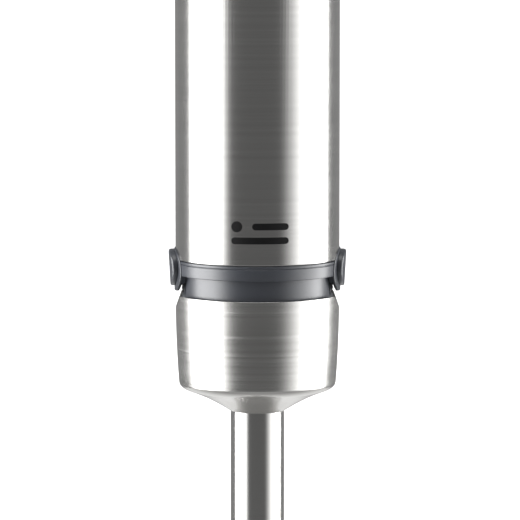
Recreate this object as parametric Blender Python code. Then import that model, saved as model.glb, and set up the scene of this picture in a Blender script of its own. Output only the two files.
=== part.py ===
"""Electric stick blender with a detachable steel blending foot.

The object stands on the rim of its blade guard, +Z up, front (button side) towards -Y.
Sizes are in millimetres and become metres where the meshes are made.

The foot is modelled just released: both release buttons are squeezed in and the foot
has dropped FOOT_DROP below its latched place, still guided by the neck of the motor unit.
"""

import math

import bmesh
import bpy
from mathutils import Matrix, Vector

MM = 0.001

# ---- driving sizes, millimetres -------------------------------------------------------
FIT_GAP = 0.3  # free space between neighbouring pieces
BODY_RADIUS = 32.0
SLEEVE_WALL = 0.8
SLEEVE_LENGTH = 170.0
COLLAR_HEIGHT = 5.7
CHASSIS_WALL = 2.0
CAP_HEIGHT = 13.0
CAP_TOP_RADIUS = 27.0
CAP_WALL = 2.5
CAP_PLUG = 7.0
UPSTAND_HEIGHT = 6.3
NECK_FLOOR = 2.0
NECK_BORE = 8.0

NECK_WALL = 2.4
NECK_DEPTH = 17.0
NECK_SHOWING = 7.9
FOOT_DROP = 4.0

LINER_WALL = 1.0
CUP_WALL = 0.8
CUP_SIDE = 34.5
CUP_TAPER = 1.3
CUP_CORNER = 3.2
EDGE_BREAK = 0.3
CONE_SLOPE = 0.34
CONE_CURVE = 0.0095

TUBE_RADIUS = 10.5
TUBE_WALL = 0.9
TUBE_SHOWING = 128.0
GUARD_RADIUS = 33.0
GUARD_HEIGHT = 38.0
GUARD_DOME = 32.0
GUARD_WALL = 1.2
GUARD_SHOULDER = 2.6  # a higher power gives a squarer bell
GUARD_FULLNESS = 0.667
GUARD_NOTCH_RADIUS = 9.0
GUARD_NOTCH_LEVEL = -1.5
BLADE_RADIUS = 25.0
BLADE_THICKNESS = 1.2
BLADE_LEVEL = 12.0
BLADE_HUB = 5.2
BLADE_BENDS = (12.0, 19.0)
BLADE_RISE = 0.42
BLADE_FALL = 0.3
NUT_RADIUS = 5.2
NUT_BOTTOM = 6.0
SPACER_RADIUS = 5.0
DRIVE_RADIUS = 3.0

BOSS_HALF_WIDTH = 12.9
BOSS_HALF_HEIGHT = 8.8
BOSS_LEVEL = 1.5
BOSS_PROUD = 0.4
BOSS_BOTTOM = -6.2
RELEASE_HALF_WIDTH = 10.1
RELEASE_HALF_HEIGHT = 7.2
RELEASE_LEVEL = 2.3
RELEASE_PROUD_TOP = 2.8
RELEASE_PROUD_BOTTOM = 2.0
RELEASE_TRAVEL = 1.4
SCALLOP_DEPTH = 5.5
SCALLOP_INSET = 2.2

ARM_HALF_ANGLE = math.radians(18.5)
SLOT_HALF_ANGLE = math.radians(20.5)
ARM_WALL = 1.8
ARM_PLATE = 1.3
ARM_PLATE_HEADROOM = 0.2
LEDGE_DEPTH = 6.4
LEDGE_HEIGHT = 1.6
WINDOW_HEIGHT = 4.0

PANEL_DROP = 37.0  # from the sleeve's top to the panel's middle
PANEL_HALF_WIDTH = 12.0
PANEL_HALF_HEIGHT = 27.0
PANEL_PROUD = 0.3
KEY_RADIUS = 7.5
KEY_SPACING = 21.0
KEY_PROUD = 1.0
KEY_FLANGE = 1.2
KEY_STEM_RADIUS = 2.0
KEY_TIP_RADIUS = 1.2
KEY_TIP_LENGTH = 1.6
BOARD_DISTANCE = 14.0
BOARD_THICKNESS = 1.6
SWITCH_SIDE = 8.0
SWITCH_DEPTH = 4.9
SWITCH_PIT = 2.8
BOARD_BELOW = 24.0
BOARD_ABOVE = 18.5

DIAL_RADIUS = 14.0
DIAL_HEIGHT = 9.5
DIAL_OFFSET = 9.0
DIAL_RECESS = 5.0
DIAL_RIBS = 18
SENSOR_RADIUS = 8.0
SENSOR_HEIGHT = 7.0
SHAFT_BITE = 3.0  # how deep the dial's shaft stands in its sensor
CORD_PASSAGE = 7.0
GLAND_OFFSET = 19.5
GLAND_RADIUS = 5.0
GLAND_FLANGE = 1.5
AIR_SLOTS = 9
AIR_SLOT_PITCH = math.radians(11)
AIR_SLOT_SIZE = (14.0, 2.4, 3.4)
AIR_SLOT_LEVEL = 3.2
CORD_BORE = 3.4

SHAFT_RADIUS = 4.0
SPRING_WIRE = 0.35
SPRING_TURNS = 4
RELEASE_SPRING_RADIUS = 2.6
KEY_SPRING_RADIUS = 3.1

# ---- places that follow from the sizes ------------------------------------------------
SLEEVE_INNER = BODY_RADIUS - SLEEVE_WALL
CHASSIS_OUTER = SLEEVE_INNER - FIT_GAP
CHASSIS_INNER = CHASSIS_OUTER - CHASSIS_WALL
CUP_INNER = BODY_RADIUS - CUP_WALL
LINER_OUTER = CUP_INNER - FIT_GAP
LINER_INNER = LINER_OUTER - LINER_WALL
NECK_RADIUS = LINER_INNER - FIT_GAP
NECK_INNER = NECK_RADIUS - NECK_WALL
COLLAR_INNER = NECK_RADIUS + FIT_GAP
ARM_OUTER = NECK_RADIUS - RELEASE_TRAVEL
ARM_INNER = ARM_OUTER - ARM_WALL
ARM_PLATE_OUTER = ARM_OUTER + ARM_PLATE
NOSE_OUTER = NECK_RADIUS - 0.2

CONE_RADIUS = BODY_RADIUS - CUP_TAPER - CUP_CORNER
TUBE_INNER = TUBE_RADIUS - TUBE_WALL
TUBE_HOLE = TUBE_RADIUS + FIT_GAP


def cone_depth(radius):
    """Depth below the cup's top of the underside at this radius."""
    inward = CONE_RADIUS - radius
    return CUP_SIDE + CUP_CORNER + CONE_SLOPE * inward + CONE_CURVE * inward**2


CUP_HEIGHT = cone_depth(TUBE_HOLE)
FOOT_HEIGHT = GUARD_HEIGHT + TUBE_SHOWING + CUP_HEIGHT
MOTOR_BASE = FOOT_HEIGHT + NECK_SHOWING
SLEEVE_BOTTOM = COLLAR_HEIGHT + FIT_GAP
SLEEVE_TOP = SLEEVE_BOTTOM + SLEEVE_LENGTH
PANEL_LEVEL = SLEEVE_TOP - PANEL_DROP
CAP_BOTTOM = SLEEVE_TOP + FIT_GAP
CAP_TOP = CAP_BOTTOM + CAP_HEIGHT
CAP_CEILING = CAP_TOP - DIAL_RECESS - CAP_WALL
UPSTAND_TOP = COLLAR_HEIGHT + UPSTAND_HEIGHT
NECK_TOP = UPSTAND_TOP + 0.5
CHASSIS_BOTTOM = NECK_TOP + FIT_GAP
SPRING_SEAT_RADIUS = ARM_INNER - 6.4
SPRING_SEAT_WALL = 2.0
SPRING_SEAT_TOP = 9.5

# Heights of the latch, counted from the underside of the collar.
LATCHED_CUP_TOP = FOOT_DROP - NECK_SHOWING
LATCHED_LEDGE_TOP = LATCHED_CUP_TOP - LEDGE_DEPTH
LATCHED_LEDGE_BOTTOM = LATCHED_LEDGE_TOP - LEDGE_HEIGHT
WAIST_TOP = LATCHED_LEDGE_TOP + FIT_GAP
NOSE_TOP = LATCHED_LEDGE_BOTTOM - FIT_GAP
NOSE_BOTTOM = LATCHED_LEDGE_TOP - FOOT_DROP + FIT_GAP

# Drive coupling. The driver hangs from the motor shaft, the socket stands in the foot.
DRIVER_RADIUS = 6.2
DRIVER_ROOT = 4.9
DRIVER_LENGTH = 9.5
DRIVER_FLANGE_RADIUS = 8.5
DRIVER_FLANGE = 3.0
DRIVER_TIP = -(NECK_DEPTH + 2.0)
DRIVER_SHOULDER = DRIVER_TIP + DRIVER_LENGTH
SOCKET_RADIUS = 10.0
SOCKET_TOP = LATCHED_CUP_TOP - DRIVER_SHOULDER + 2 * FIT_GAP  # depth below the cup's top
SOCKET_FLOOR = LATCHED_CUP_TOP - DRIVER_TIP + 3 * FIT_GAP
SOCKET_BOTTOM = SOCKET_FLOOR + 5.0
LINER_FLOOR = SOCKET_BOTTOM + 1.0
LINER_FLOOR_WALL = 2.5
LINER_BOSS_LENGTH = 11.5
WINDOW_BOTTOM = LEDGE_DEPTH + LEDGE_HEIGHT + WINDOW_HEIGHT
TUBE_TOP = FOOT_HEIGHT - LINER_FLOOR - LINER_FLOOR_WALL - FIT_GAP
TUBE_BOTTOM = GUARD_DOME - 1.0
BUSH_RADIUS = 6.0
BUSH_LENGTH = 10.0
HOUSING_BELOW = 5.7
HOUSING_ABOVE = 7.3
LOWER_BUSH_BELOW = 2.5
SEAL_BELOW = 5.5
SHAFT_BOTTOM = 7.5
NUT_BORE_BOTTOM = SHAFT_BOTTOM - FIT_GAP

# Motor, heights counted from the underside of the collar.
BOLT_RADIUS = 1.5
BOLT_HEAD_RADIUS = 2.6
BOLT_HEAD = 2.0
BOLT_CIRCLE = CHASSIS_INNER - BOLT_HEAD_RADIUS - FIT_GAP
BRACKET_WALL = 3.0
BRACKET_LOW = NECK_TOP + 0.8
BRACKET_GAP = 91.0
BRACKET_HIGH = BRACKET_LOW + BRACKET_GAP
BRACKET_RADIUS = CHASSIS_INNER - FIT_GAP
BEARING_RADIUS = 9.5
BEARING_WIDTH = 6.0
HUB_WALL = 2.5
BRACKET_LIP = SHAFT_RADIUS + 2.5
BRACKET_OPENINGS = 4
OPENING_CIRCLE = 19.5
OPENING_RADIUS = 5.0
MOUNT_WALL = 0.9
MOUNT_HEIGHT = 4.0
FAN_LEVEL = BRACKET_LOW + 14.0
FAN_RADIUS = 22.0
FAN_HEIGHT = 8.0
FAN_BLADES = 9
FAN_HUB = 8.5
FAN_DISC = 1.2
STACK_LEVEL = BRACKET_LOW + 31.0
STACK_HEIGHT = 30.0
STACK_RADIUS = BOLT_CIRCLE - BOLT_RADIUS - 0.2
ROTOR_RADIUS = 15.5
ROTOR_GAP = 0.6
COIL_OVERHANG = 5.0
COIL_SLOT_RADIUS = STACK_RADIUS - 2.1
COIL_SLOT_HALF_ANGLE = math.radians(38)
COIL_HALF_ANGLE = math.radians(36)
ROTOR_SLOTS = 12
ROTOR_SLOT_RADIUS = 10.5
WINDING_NECK = 9.5
WINDING_SHOULDER = 12.6
COMMUTATOR_BARS = 16
WINDING_HEIGHT = 6.5
WINDING_RADIUS = 13.5
COMMUTATOR_RADIUS = 8.5
COMMUTATOR_HEIGHT = 13.0
COMMUTATOR_LEVEL = STACK_LEVEL + STACK_HEIGHT + WINDING_HEIGHT + 3.5
BRUSH_WIDTH = 5.5
BRUSH_HEIGHT = 6.5
BRUSH_LENGTH = 12.0
HOLDER_WALL = 1.5
HOLDER_START = COMMUTATOR_RADIUS + 2.0
HOLDER_END = 25.5

LARGE_STEPS = 36
MEDIUM_STEPS = 24
SMALL_STEPS = 12
BOLT_STEPS = 8
ARCH_SHARES = (1.0, 0.985, 0.94, 0.86, 0.72, 0.5, 0.25, 0.0, -0.25)
HOLE_STEPS = 20
COIL_POINTS = 8
LONG_CUT = 100.0

# ---- materials: colour, metallic, roughness -------------------------------------------
FINISHES = {
    "brushed_steel": ((0.62, 0.61, 0.59), 1.0, 0.3),
    "polished_steel": ((0.70, 0.69, 0.67), 1.0, 0.18),
    "grey_plastic": ((0.11, 0.125, 0.145), 0.0, 0.38),
    "dark_plastic": ((0.02, 0.021, 0.023), 0.0, 0.5),
    "soft_rubber": ((0.03, 0.031, 0.034), 0.0, 0.8),
    "bright_steel": ((0.55, 0.55, 0.55), 1.0, 0.35),
    "copper": ((0.72, 0.33, 0.16), 1.0, 0.4),
    "laminations": ((0.25, 0.25, 0.27), 1.0, 0.5),
    "bronze": ((0.55, 0.36, 0.14), 1.0, 0.45),
    "carbon": ((0.02, 0.02, 0.02), 0.2, 0.7),
    "board_green": ((0.02, 0.14, 0.06), 0.0, 0.5),
    "cast_aluminium": ((0.50, 0.51, 0.52), 1.0, 0.5),
    "nylon": ((0.72, 0.70, 0.64), 0.0, 0.45),
}


def clear_scene():
    """Takes out every object that the file starts with."""
    for obj in list(bpy.data.objects):
        bpy.data.objects.remove(obj, do_unlink=True)


def make_materials():
    """One Principled material for each finish."""
    made = {}
    for name, (colour, metallic, roughness) in FINISHES.items():
        material = bpy.data.materials.new(name)
        material.use_nodes = True
        shader = material.node_tree.nodes["Principled BSDF"]
        shader.inputs["Base Color"].default_value = (*colour, 1.0)
        shader.inputs["Metallic"].default_value = metallic
        shader.inputs["Roughness"].default_value = roughness
        made[name] = material
    return made


# ---- mesh tools -----------------------------------------------------------------------
def to_object(name, bm, finish=None, parent=None):
    """Writes a bmesh in millimetres to an object in metres; with no finish it is a cutter."""
    bmesh.ops.remove_doubles(bm, verts=bm.verts, dist=1e-4)
    bmesh.ops.recalc_face_normals(bm, faces=bm.faces)
    bm.transform(Matrix.Scale(MM, 4))
    mesh = bpy.data.meshes.new(name)
    bm.to_mesh(mesh)
    bm.free()
    mesh.shade_smooth()
    mesh.set_sharp_from_angle(angle=math.radians(32))
    obj = bpy.data.objects.new(name, mesh)
    bpy.context.scene.collection.objects.link(obj)
    obj.parent = parent
    if finish:
        mesh.materials.append(MATERIALS[finish])
    else:
        obj.hide_render = True
        obj.display_type = "WIRE"
    return obj


def empty(name, location, parent=None):
    """An axis or an assembly's reference point."""
    obj = bpy.data.objects.new(name, None)
    bpy.context.scene.collection.objects.link(obj)
    obj.location = Vector(location) * MM
    obj.parent = parent
    return obj


def lathe_mesh(profile, steps):
    """Turns a closed outline of (radius, height) points round Z."""
    bm = bmesh.new()
    verts = [bm.verts.new((radius, 0, height)) for radius, height in profile]
    edges = []
    for first, second in zip(verts, verts[1:] + verts[:1]):
        if first.co.x > 0 or second.co.x > 0:
            edges.append(bm.edges.new((first, second)))
    bmesh.ops.spin(
        bm, geom=verts + edges, axis=(0, 0, 1), cent=(0, 0, 0),
        dvec=(0, 0, 0), angle=2 * math.pi, steps=steps, use_merge=True,
    )
    return bm


def lathe(name, profile, finish=None, parent=None, steps=LARGE_STEPS):
    """A solid turned round Z from a closed outline of (radius, height) points."""
    return to_object(name, lathe_mesh(profile, steps), finish, parent)


def tube(name, outer, inner, low, high, finish=None, parent=None, steps=LARGE_STEPS):
    """A plain ring or tube."""
    profile = [(inner, low), (outer, low), (outer, high), (inner, high)]
    return lathe(name, profile, finish, parent, steps)


def sector(name, profile, middle, half_angle, finish=None, parent=None, steps=8):
    """Turns a closed outline through part of a turn, centred on the angle middle."""
    bm = bmesh.new()
    start = middle - half_angle
    face = bm.faces.new(
        [bm.verts.new((r * math.cos(start), r * math.sin(start), h)) for r, h in profile]
    )
    bmesh.ops.spin(
        bm, geom=[face, *face.edges, *face.verts], axis=(0, 0, 1), cent=(0, 0, 0),
        dvec=(0, 0, 0), angle=2 * half_angle, steps=steps,
    )
    return to_object(name, bm, finish, parent)


def prism(name, outline, low, high, finish=None, parent=None, axis="Z"):
    """Extrudes a flat outline from low to high.

    With axis Z the outline is (x, y). With X it is (y, z), and with Y it is (x, z)."""
    place = {
        "Z": lambda a, b, c: (a, b, c),
        "X": lambda a, b, c: (c, a, b),
        "Y": lambda a, b, c: (a, c, b),
    }[axis]
    bm = bmesh.new()
    face = bm.faces.new([bm.verts.new(place(a, b, low)) for a, b in outline])
    swept = bmesh.ops.extrude_face_region(bm, geom=[face])
    moved = [item for item in swept["geom"] if isinstance(item, bmesh.types.BMVert)]
    bmesh.ops.translate(bm, vec=Vector(place(0, 0, high - low)), verts=moved)
    return to_object(name, bm, finish, parent)


def block(name, size, centre, finish=None, parent=None):
    """A box of this size about this centre."""
    bm = bmesh.new()
    bmesh.ops.create_cube(bm, size=1)
    bmesh.ops.scale(bm, vec=size, verts=bm.verts)
    bmesh.ops.translate(bm, vec=centre, verts=bm.verts)
    return to_object(name, bm, finish, parent)


def combine(target, operation, *tools):
    """Adds an exact Boolean for each tool and hides the tool."""
    for tool in tools:
        modifier = target.modifiers.new(tool.name, "BOOLEAN")
        modifier.operation = operation
        modifier.solver = "EXACT"
        modifier.object = tool
        tool.hide_render = True
        tool.display_type = "WIRE"
        tool.parent = target.parent
    return target


def ellipse(half_width, half_height, level, steps=24):
    """Outline of an ellipse in the (y, z) plane."""
    turns = [2 * math.pi * step / steps for step in range(steps)]
    return [(half_width * math.cos(t), level + half_height * math.sin(t)) for t in turns]


def toothed(teeth, tip, root, share, phase=0.0):
    """Outline of straight teeth: each takes this share of its pitch."""
    outline = []
    for tooth in range(teeth):
        for radius, side in ((root, -1), (tip, -1), (tip, 1), (root, 1)):
            turn = phase + 2 * math.pi * (tooth + side * share / 2) / teeth
            outline.append((radius * math.cos(turn), radius * math.sin(turn)))
    return outline


def coil(name, start, end, radius, turns, parent):
    """A compression spring between two points, with COIL_POINTS points to a turn."""
    curve = bpy.data.curves.new(name, "CURVE")
    curve.dimensions = "3D"
    curve.bevel_depth = SPRING_WIRE * MM
    curve.bevel_resolution = 0
    curve.use_fill_caps = True
    first, last = Vector(start), Vector(end)
    along = (last - first).normalized()
    side = along.orthogonal().normalized()
    across = along.cross(side)
    count = turns * COIL_POINTS + 1
    spline = curve.splines.new("POLY")
    spline.points.add(count - 1)
    for index in range(count):
        turn = 2 * math.pi * index / COIL_POINTS
        centre = first.lerp(last, index / (count - 1))
        point = centre + radius * (math.cos(turn) * side + math.sin(turn) * across)
        spline.points[index].co = (*(point * MM), 1.0)
    curve.materials.append(MATERIALS["bright_steel"])
    obj = bpy.data.objects.new(name, curve)
    bpy.context.scene.collection.objects.link(obj)
    obj.parent = parent
    return obj


# ---- the foot -------------------------------------------------------------------------
def cup_outline(wall):
    """(radius, depth) from the cup's top to the tube, set inwards by the wall thickness."""
    side = [
        (BODY_RADIUS - CUP_TAPER * share**2 - wall, CUP_SIDE * share)
        for share in (0.0, 0.5, 1.0)
    ]
    start = Vector((BODY_RADIUS - CUP_TAPER, CUP_SIDE))
    end = Vector((CONE_RADIUS, CUP_SIDE + CUP_CORNER))
    pull = Vector((start.x - 0.1, end.y - CONE_SLOPE * CUP_CORNER))
    corner = []
    for share in (0.5, 1.0):
        point = start.lerp(pull, share).lerp(pull.lerp(end, share), share)
        corner.append((point.x - wall * (1 - share), point.y - wall * share))
    radii = [CONE_RADIUS + (TUBE_HOLE - CONE_RADIUS) * share for share in (0.5, 1.0)]
    cone = [(radius, cone_depth(radius) - wall) for radius in radii]
    return side + corner + cone


def steel_cup(foot):
    """Drawn steel cup that joins the foot's tube to the motor unit."""
    outer = cup_outline(0.0)
    inner = cup_outline(CUP_WALL)
    outline = [(CUP_INNER, 0.0), (BODY_RADIUS - EDGE_BREAK, 0.0), (BODY_RADIUS, EDGE_BREAK)]
    outline += outer[1:] + inner[:0:-1]
    profile = [(radius, FOOT_HEIGHT - depth) for radius, depth in outline]
    cup = lathe("foot_cup", profile, "brushed_steel", foot)
    arch = []
    for share in ARCH_SHARES:
        depth = SCALLOP_DEPTH * share
        reach = BODY_RADIUS - SCALLOP_INSET * (1 - share)
        arch.append((math.sqrt(BODY_RADIUS**2 - reach**2), FOOT_HEIGHT - depth))
    outline = arch + [(-y, z) for y, z in reversed(arch[1:])]
    scallop = prism("scallop_cutter", outline, -LONG_CUT, LONG_CUT, axis="X")
    return combine(cup, "DIFFERENCE", scallop)


def coupling_liner(foot):
    """Moulded insert in the cup: skirt with latch ledges, floor and bearing boss."""
    taper = CUP_TAPER * (LINER_FLOOR / CUP_SIDE) ** 2 + 0.2
    boss = TUBE_INNER - FIT_GAP
    bore = BUSH_RADIUS + FIT_GAP
    under = LINER_FLOOR + LINER_FLOOR_WALL
    depths = [
        (LINER_INNER, 0.4), (LINER_OUTER, 0.4), (LINER_OUTER - 0.1, WINDOW_BOTTOM),
        (LINER_OUTER - taper, under), (boss, under), (boss, under + LINER_BOSS_LENGTH),
        (DRIVE_RADIUS + 1.0, under + LINER_BOSS_LENGTH),
        (DRIVE_RADIUS + 1.0, LINER_FLOOR + BUSH_LENGTH + 2 * FIT_GAP),
        (bore, LINER_FLOOR + BUSH_LENGTH + 2 * FIT_GAP), (bore, LINER_FLOOR),
        (LINER_INNER - taper, LINER_FLOOR), (LINER_INNER, WINDOW_BOTTOM + 2.0),
    ]
    profile = [(radius, FOOT_HEIGHT - depth) for radius, depth in depths]
    liner = lathe("coupling_liner", profile, "dark_plastic", foot)
    tools = []
    for side, middle in (("left", math.pi), ("right", 0.0)):
        for use, top, bottom in (
            ("notch", -1.0, LEDGE_DEPTH),
            ("window", LEDGE_DEPTH + LEDGE_HEIGHT, WINDOW_BOTTOM),
        ):
            box = [
                (LINER_INNER - 1.0, FOOT_HEIGHT - bottom),
                (LINER_OUTER + 1.0, FOOT_HEIGHT - bottom),
                (LINER_OUTER + 1.0, FOOT_HEIGHT - top),
                (LINER_INNER - 1.0, FOOT_HEIGHT - top),
            ]
            name = f"liner_{use}_cutter_{side}"
            tools.append(sector(name, box, middle, SLOT_HALF_ANGLE + math.radians(1.5)))
    return combine(liner, "DIFFERENCE", *tools)


def guard_radius(height, dome, skirt, top):
    """Radius of the bell at this height."""
    share = min(1.0, height / dome)
    return top + (skirt - top) * (1 - share**GUARD_SHOULDER) ** GUARD_FULLNESS


def blade_guard(foot):
    """Stamped bell round the blade, with four notches in its rim."""
    collar = TUBE_HOLE + GUARD_WALL
    shares = (0.0, 0.4, 0.66, 0.86, 0.96, 1.0)
    outer = [
        (guard_radius(GUARD_DOME * share, GUARD_DOME, GUARD_RADIUS, collar), GUARD_DOME * share)
        for share in shares
    ]
    hollow = GUARD_DOME - GUARD_WALL
    inner = [
        (guard_radius(hollow * share, hollow, GUARD_RADIUS - GUARD_WALL, TUBE_HOLE), hollow * share)
        for share in shares
    ]
    profile = outer + [(collar, GUARD_HEIGHT), (TUBE_HOLE, GUARD_HEIGHT)] + inner[::-1]
    guard = lathe("blade_guard", profile, "polished_steel", foot)
    tools = []
    for number, turn in enumerate((math.pi / 4, 3 * math.pi / 4)):
        bm = bmesh.new()
        bmesh.ops.create_cone(
            bm, cap_ends=True, segments=HOLE_STEPS, radius1=GUARD_NOTCH_RADIUS,
            radius2=GUARD_NOTCH_RADIUS, depth=LONG_CUT,
            matrix=Matrix.Translation((0, 0, GUARD_NOTCH_LEVEL))
            @ Matrix.Rotation(turn, 4, "Z") @ Matrix.Rotation(math.pi / 2, 4, "Y"),
        )
        tools.append(to_object(f"guard_notch_cutter_{number}", bm))
    return combine(guard, "DIFFERENCE", *tools)


def foot_pieces(foot):
    """Everything in the foot that doesn't turn."""
    steel_cup(foot)
    coupling_liner(foot)
    tube("shaft_tube", TUBE_RADIUS, TUBE_INNER, TUBE_BOTTOM, TUBE_TOP,
         "brushed_steel", foot, MEDIUM_STEPS)
    blade_guard(foot)
    bore = BUSH_RADIUS + FIT_GAP
    plug = TUBE_INNER - FIT_GAP
    seat = TUBE_BOTTOM - FIT_GAP
    housing = [
        (bore, seat - HOUSING_BELOW), (TUBE_RADIUS, seat - HOUSING_BELOW), (TUBE_RADIUS, seat),
        (plug, seat), (plug, seat + HOUSING_ABOVE), (bore, seat + HOUSING_ABOVE),
    ]
    lathe("bearing_housing", housing, "nylon", foot, MEDIUM_STEPS)
    hole = DRIVE_RADIUS + FIT_GAP
    low = seat - LOWER_BUSH_BELOW
    tube("lower_bush", BUSH_RADIUS, hole, low, low + BUSH_LENGTH - 0.5, "bronze", foot, SMALL_STEPS)
    tube("shaft_seal", BUSH_RADIUS, hole, seat - SEAL_BELOW, low - FIT_GAP, "soft_rubber", foot,
         SMALL_STEPS)
    top = FOOT_HEIGHT - LINER_FLOOR - FIT_GAP
    tube("upper_bush", BUSH_RADIUS, hole, top - BUSH_LENGTH, top, "bronze", foot, SMALL_STEPS)


def blade_mesh():
    """Two swept wings, one bent up and one bent down, round a hub with a hole."""
    near, far = BLADE_BENDS
    wing = [(BLADE_HUB, -BLADE_HUB), (near, -4.6), (far, -4.4), (BLADE_RADIUS, 0.4), (far, 3.0),
            (near, 4.0)]
    outline = wing + [(BLADE_HUB, BLADE_HUB)]
    outline += [(-x, -y) for x, y in wing] + [(-BLADE_HUB, -BLADE_HUB)]
    bm = bmesh.new()
    face = bm.faces.new([bm.verts.new((x, y, BLADE_LEVEL)) for x, y in outline])
    swept = bmesh.ops.extrude_face_region(bm, geom=[face])
    moved = [item for item in swept["geom"] if isinstance(item, bmesh.types.BMVert)]
    bmesh.ops.translate(bm, vec=(0, 0, BLADE_THICKNESS), verts=moved)
    for x in (-far, -near, near, far):
        everything = [*bm.verts, *bm.edges, *bm.faces]
        bmesh.ops.bisect_plane(bm, geom=everything, plane_co=(x, 0, 0), plane_no=(1, 0, 0))
    for vert in bm.verts:
        bent = max(0.0, abs(vert.co.x) - near)
        vert.co.z += BLADE_RISE * bent if vert.co.x > 0 else -BLADE_FALL * bent
    return bm


def blade_pieces(spindle):
    """What turns in the foot: shaft, socket, blade and nut."""
    socket_low = FOOT_HEIGHT - SOCKET_BOTTOM
    shaft_top = FOOT_HEIGHT - SOCKET_FLOOR - 1.6
    drive = [(0, SHAFT_BOTTOM), (DRIVE_RADIUS, SHAFT_BOTTOM), (DRIVE_RADIUS, shaft_top),
             (0, shaft_top)]
    lathe("drive_shaft", drive, "bright_steel", spindle, SMALL_STEPS)
    hole = DRIVE_RADIUS + FIT_GAP
    body = [
        (hole, socket_low), (SOCKET_RADIUS - 1.5, socket_low), (SOCKET_RADIUS, socket_low + 1.5),
        (SOCKET_RADIUS, FOOT_HEIGHT - SOCKET_TOP), (0, FOOT_HEIGHT - SOCKET_TOP),
        (0, shaft_top + FIT_GAP), (hole, shaft_top + FIT_GAP),
    ]
    socket = lathe("drive_socket", body, "nylon", spindle, MEDIUM_STEPS)
    star = toothed(6, DRIVER_RADIUS + FIT_GAP, DRIVER_ROOT + FIT_GAP, 0.5)
    cutter = prism("socket_cutter", star, FOOT_HEIGHT - SOCKET_FLOOR, FOOT_HEIGHT)
    combine(socket, "DIFFERENCE", cutter)
    blade = to_object("blade", blade_mesh(), "polished_steel", spindle)
    low = [(0, 0), (hole, 0), (hole, 2 * BLADE_LEVEL), (0, 2 * BLADE_LEVEL)]
    combine(blade, "DIFFERENCE", lathe("blade_hole_cutter", low, steps=SMALL_STEPS))
    above = BLADE_LEVEL + BLADE_THICKNESS + FIT_GAP
    under = TUBE_BOTTOM - HOUSING_BELOW - 3 * FIT_GAP
    tube("blade_spacer", SPACER_RADIUS, hole, above, under, "bright_steel", spindle, SMALL_STEPS)
    hexagon = [
        (NUT_RADIUS * math.cos(turn), NUT_RADIUS * math.sin(turn))
        for turn in (math.pi * corner / 3 for corner in range(6))
    ]
    nut = prism("blade_nut", hexagon, NUT_BOTTOM, BLADE_LEVEL - FIT_GAP, "polished_steel", spindle)
    bore = [(0, NUT_BORE_BOTTOM), (hole, NUT_BORE_BOTTOM), (hole, BLADE_LEVEL + 1),
            (0, BLADE_LEVEL + 1)]
    combine(nut, "DIFFERENCE", lathe("blade_nut_bore", bore, steps=SMALL_STEPS, parent=spindle))


# ---- the motor unit -------------------------------------------------------------------
def release_collar(unit):
    """Plastic collar under the sleeve, with an oval boss round each release button."""
    ring = [
        (COLLAR_INNER, 0), (BODY_RADIUS - EDGE_BREAK, 0), (BODY_RADIUS, EDGE_BREAK),
        (BODY_RADIUS, COLLAR_HEIGHT - EDGE_BREAK), (BODY_RADIUS - EDGE_BREAK, COLLAR_HEIGHT),
        (CHASSIS_OUTER, COLLAR_HEIGHT), (CHASSIS_OUTER, UPSTAND_TOP), (COLLAR_INNER, UPSTAND_TOP),
    ]
    collar = lathe("release_collar", ring, "grey_plastic", unit)
    high = BOSS_LEVEL + BOSS_HALF_HEIGHT + 1.0
    bosses = tube("boss_ring", BODY_RADIUS + BOSS_PROUD, COLLAR_INNER, BOSS_BOTTOM, high, parent=unit)
    oval = ellipse(BOSS_HALF_WIDTH, BOSS_HALF_HEIGHT, BOSS_LEVEL)
    combine(bosses, "INTERSECT", prism("boss_outline", oval, -LONG_CUT, LONG_CUT, axis="X"))
    combine(collar, "UNION", bosses)
    hole = ellipse(RELEASE_HALF_WIDTH + FIT_GAP, RELEASE_HALF_HEIGHT + FIT_GAP, RELEASE_LEVEL)
    combine(collar, "DIFFERENCE", prism("button_hole", hole, -LONG_CUT, LONG_CUT, axis="X"))
    inner, outer = COLLAR_INNER - 1.0, ARM_PLATE_OUTER + RELEASE_TRAVEL + FIT_GAP
    space = [(inner, BOSS_BOTTOM - 1.0), (outer, BOSS_BOTTOM - 1.0), (outer, ARM_PLATE_HEADROOM),
             (inner, ARM_PLATE_HEADROOM)]
    for side, middle in (("left", math.pi), ("right", 0.0)):
        combine(collar, "DIFFERENCE",
                sector(f"arm_plate_space_{side}", space, middle, SLOT_HALF_ANGLE))


def steel_sleeve(unit):
    """Brushed steel body tube, cut for the bosses and for the button panel."""
    sleeve = tube("steel_sleeve", BODY_RADIUS, SLEEVE_INNER, SLEEVE_BOTTOM, SLEEVE_TOP,
                  "brushed_steel", unit)
    grown = ellipse(BOSS_HALF_WIDTH + FIT_GAP, BOSS_HALF_HEIGHT + FIT_GAP, BOSS_LEVEL)
    boss = prism("sleeve_boss_cutter", grown, -LONG_CUT, LONG_CUT, axis="X")
    window = prism("sleeve_panel_cutter", panel_outline(FIT_GAP), -LONG_CUT, 0, axis="Y")
    combine(sleeve, "DIFFERENCE", boss, window)


def panel_outline(grow):
    """Round-ended outline of the button panel in the (x, z) plane."""
    radius = PANEL_HALF_WIDTH + grow
    straight = PANEL_HALF_HEIGHT - PANEL_HALF_WIDTH
    points = []
    for end, start in ((1, 0.0), (-1, math.pi)):
        for step in range(9):
            turn = start + math.pi * step / 8
            points.append((radius * math.cos(turn),
                           PANEL_LEVEL + end * straight + radius * math.sin(turn)))
    return points


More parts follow.
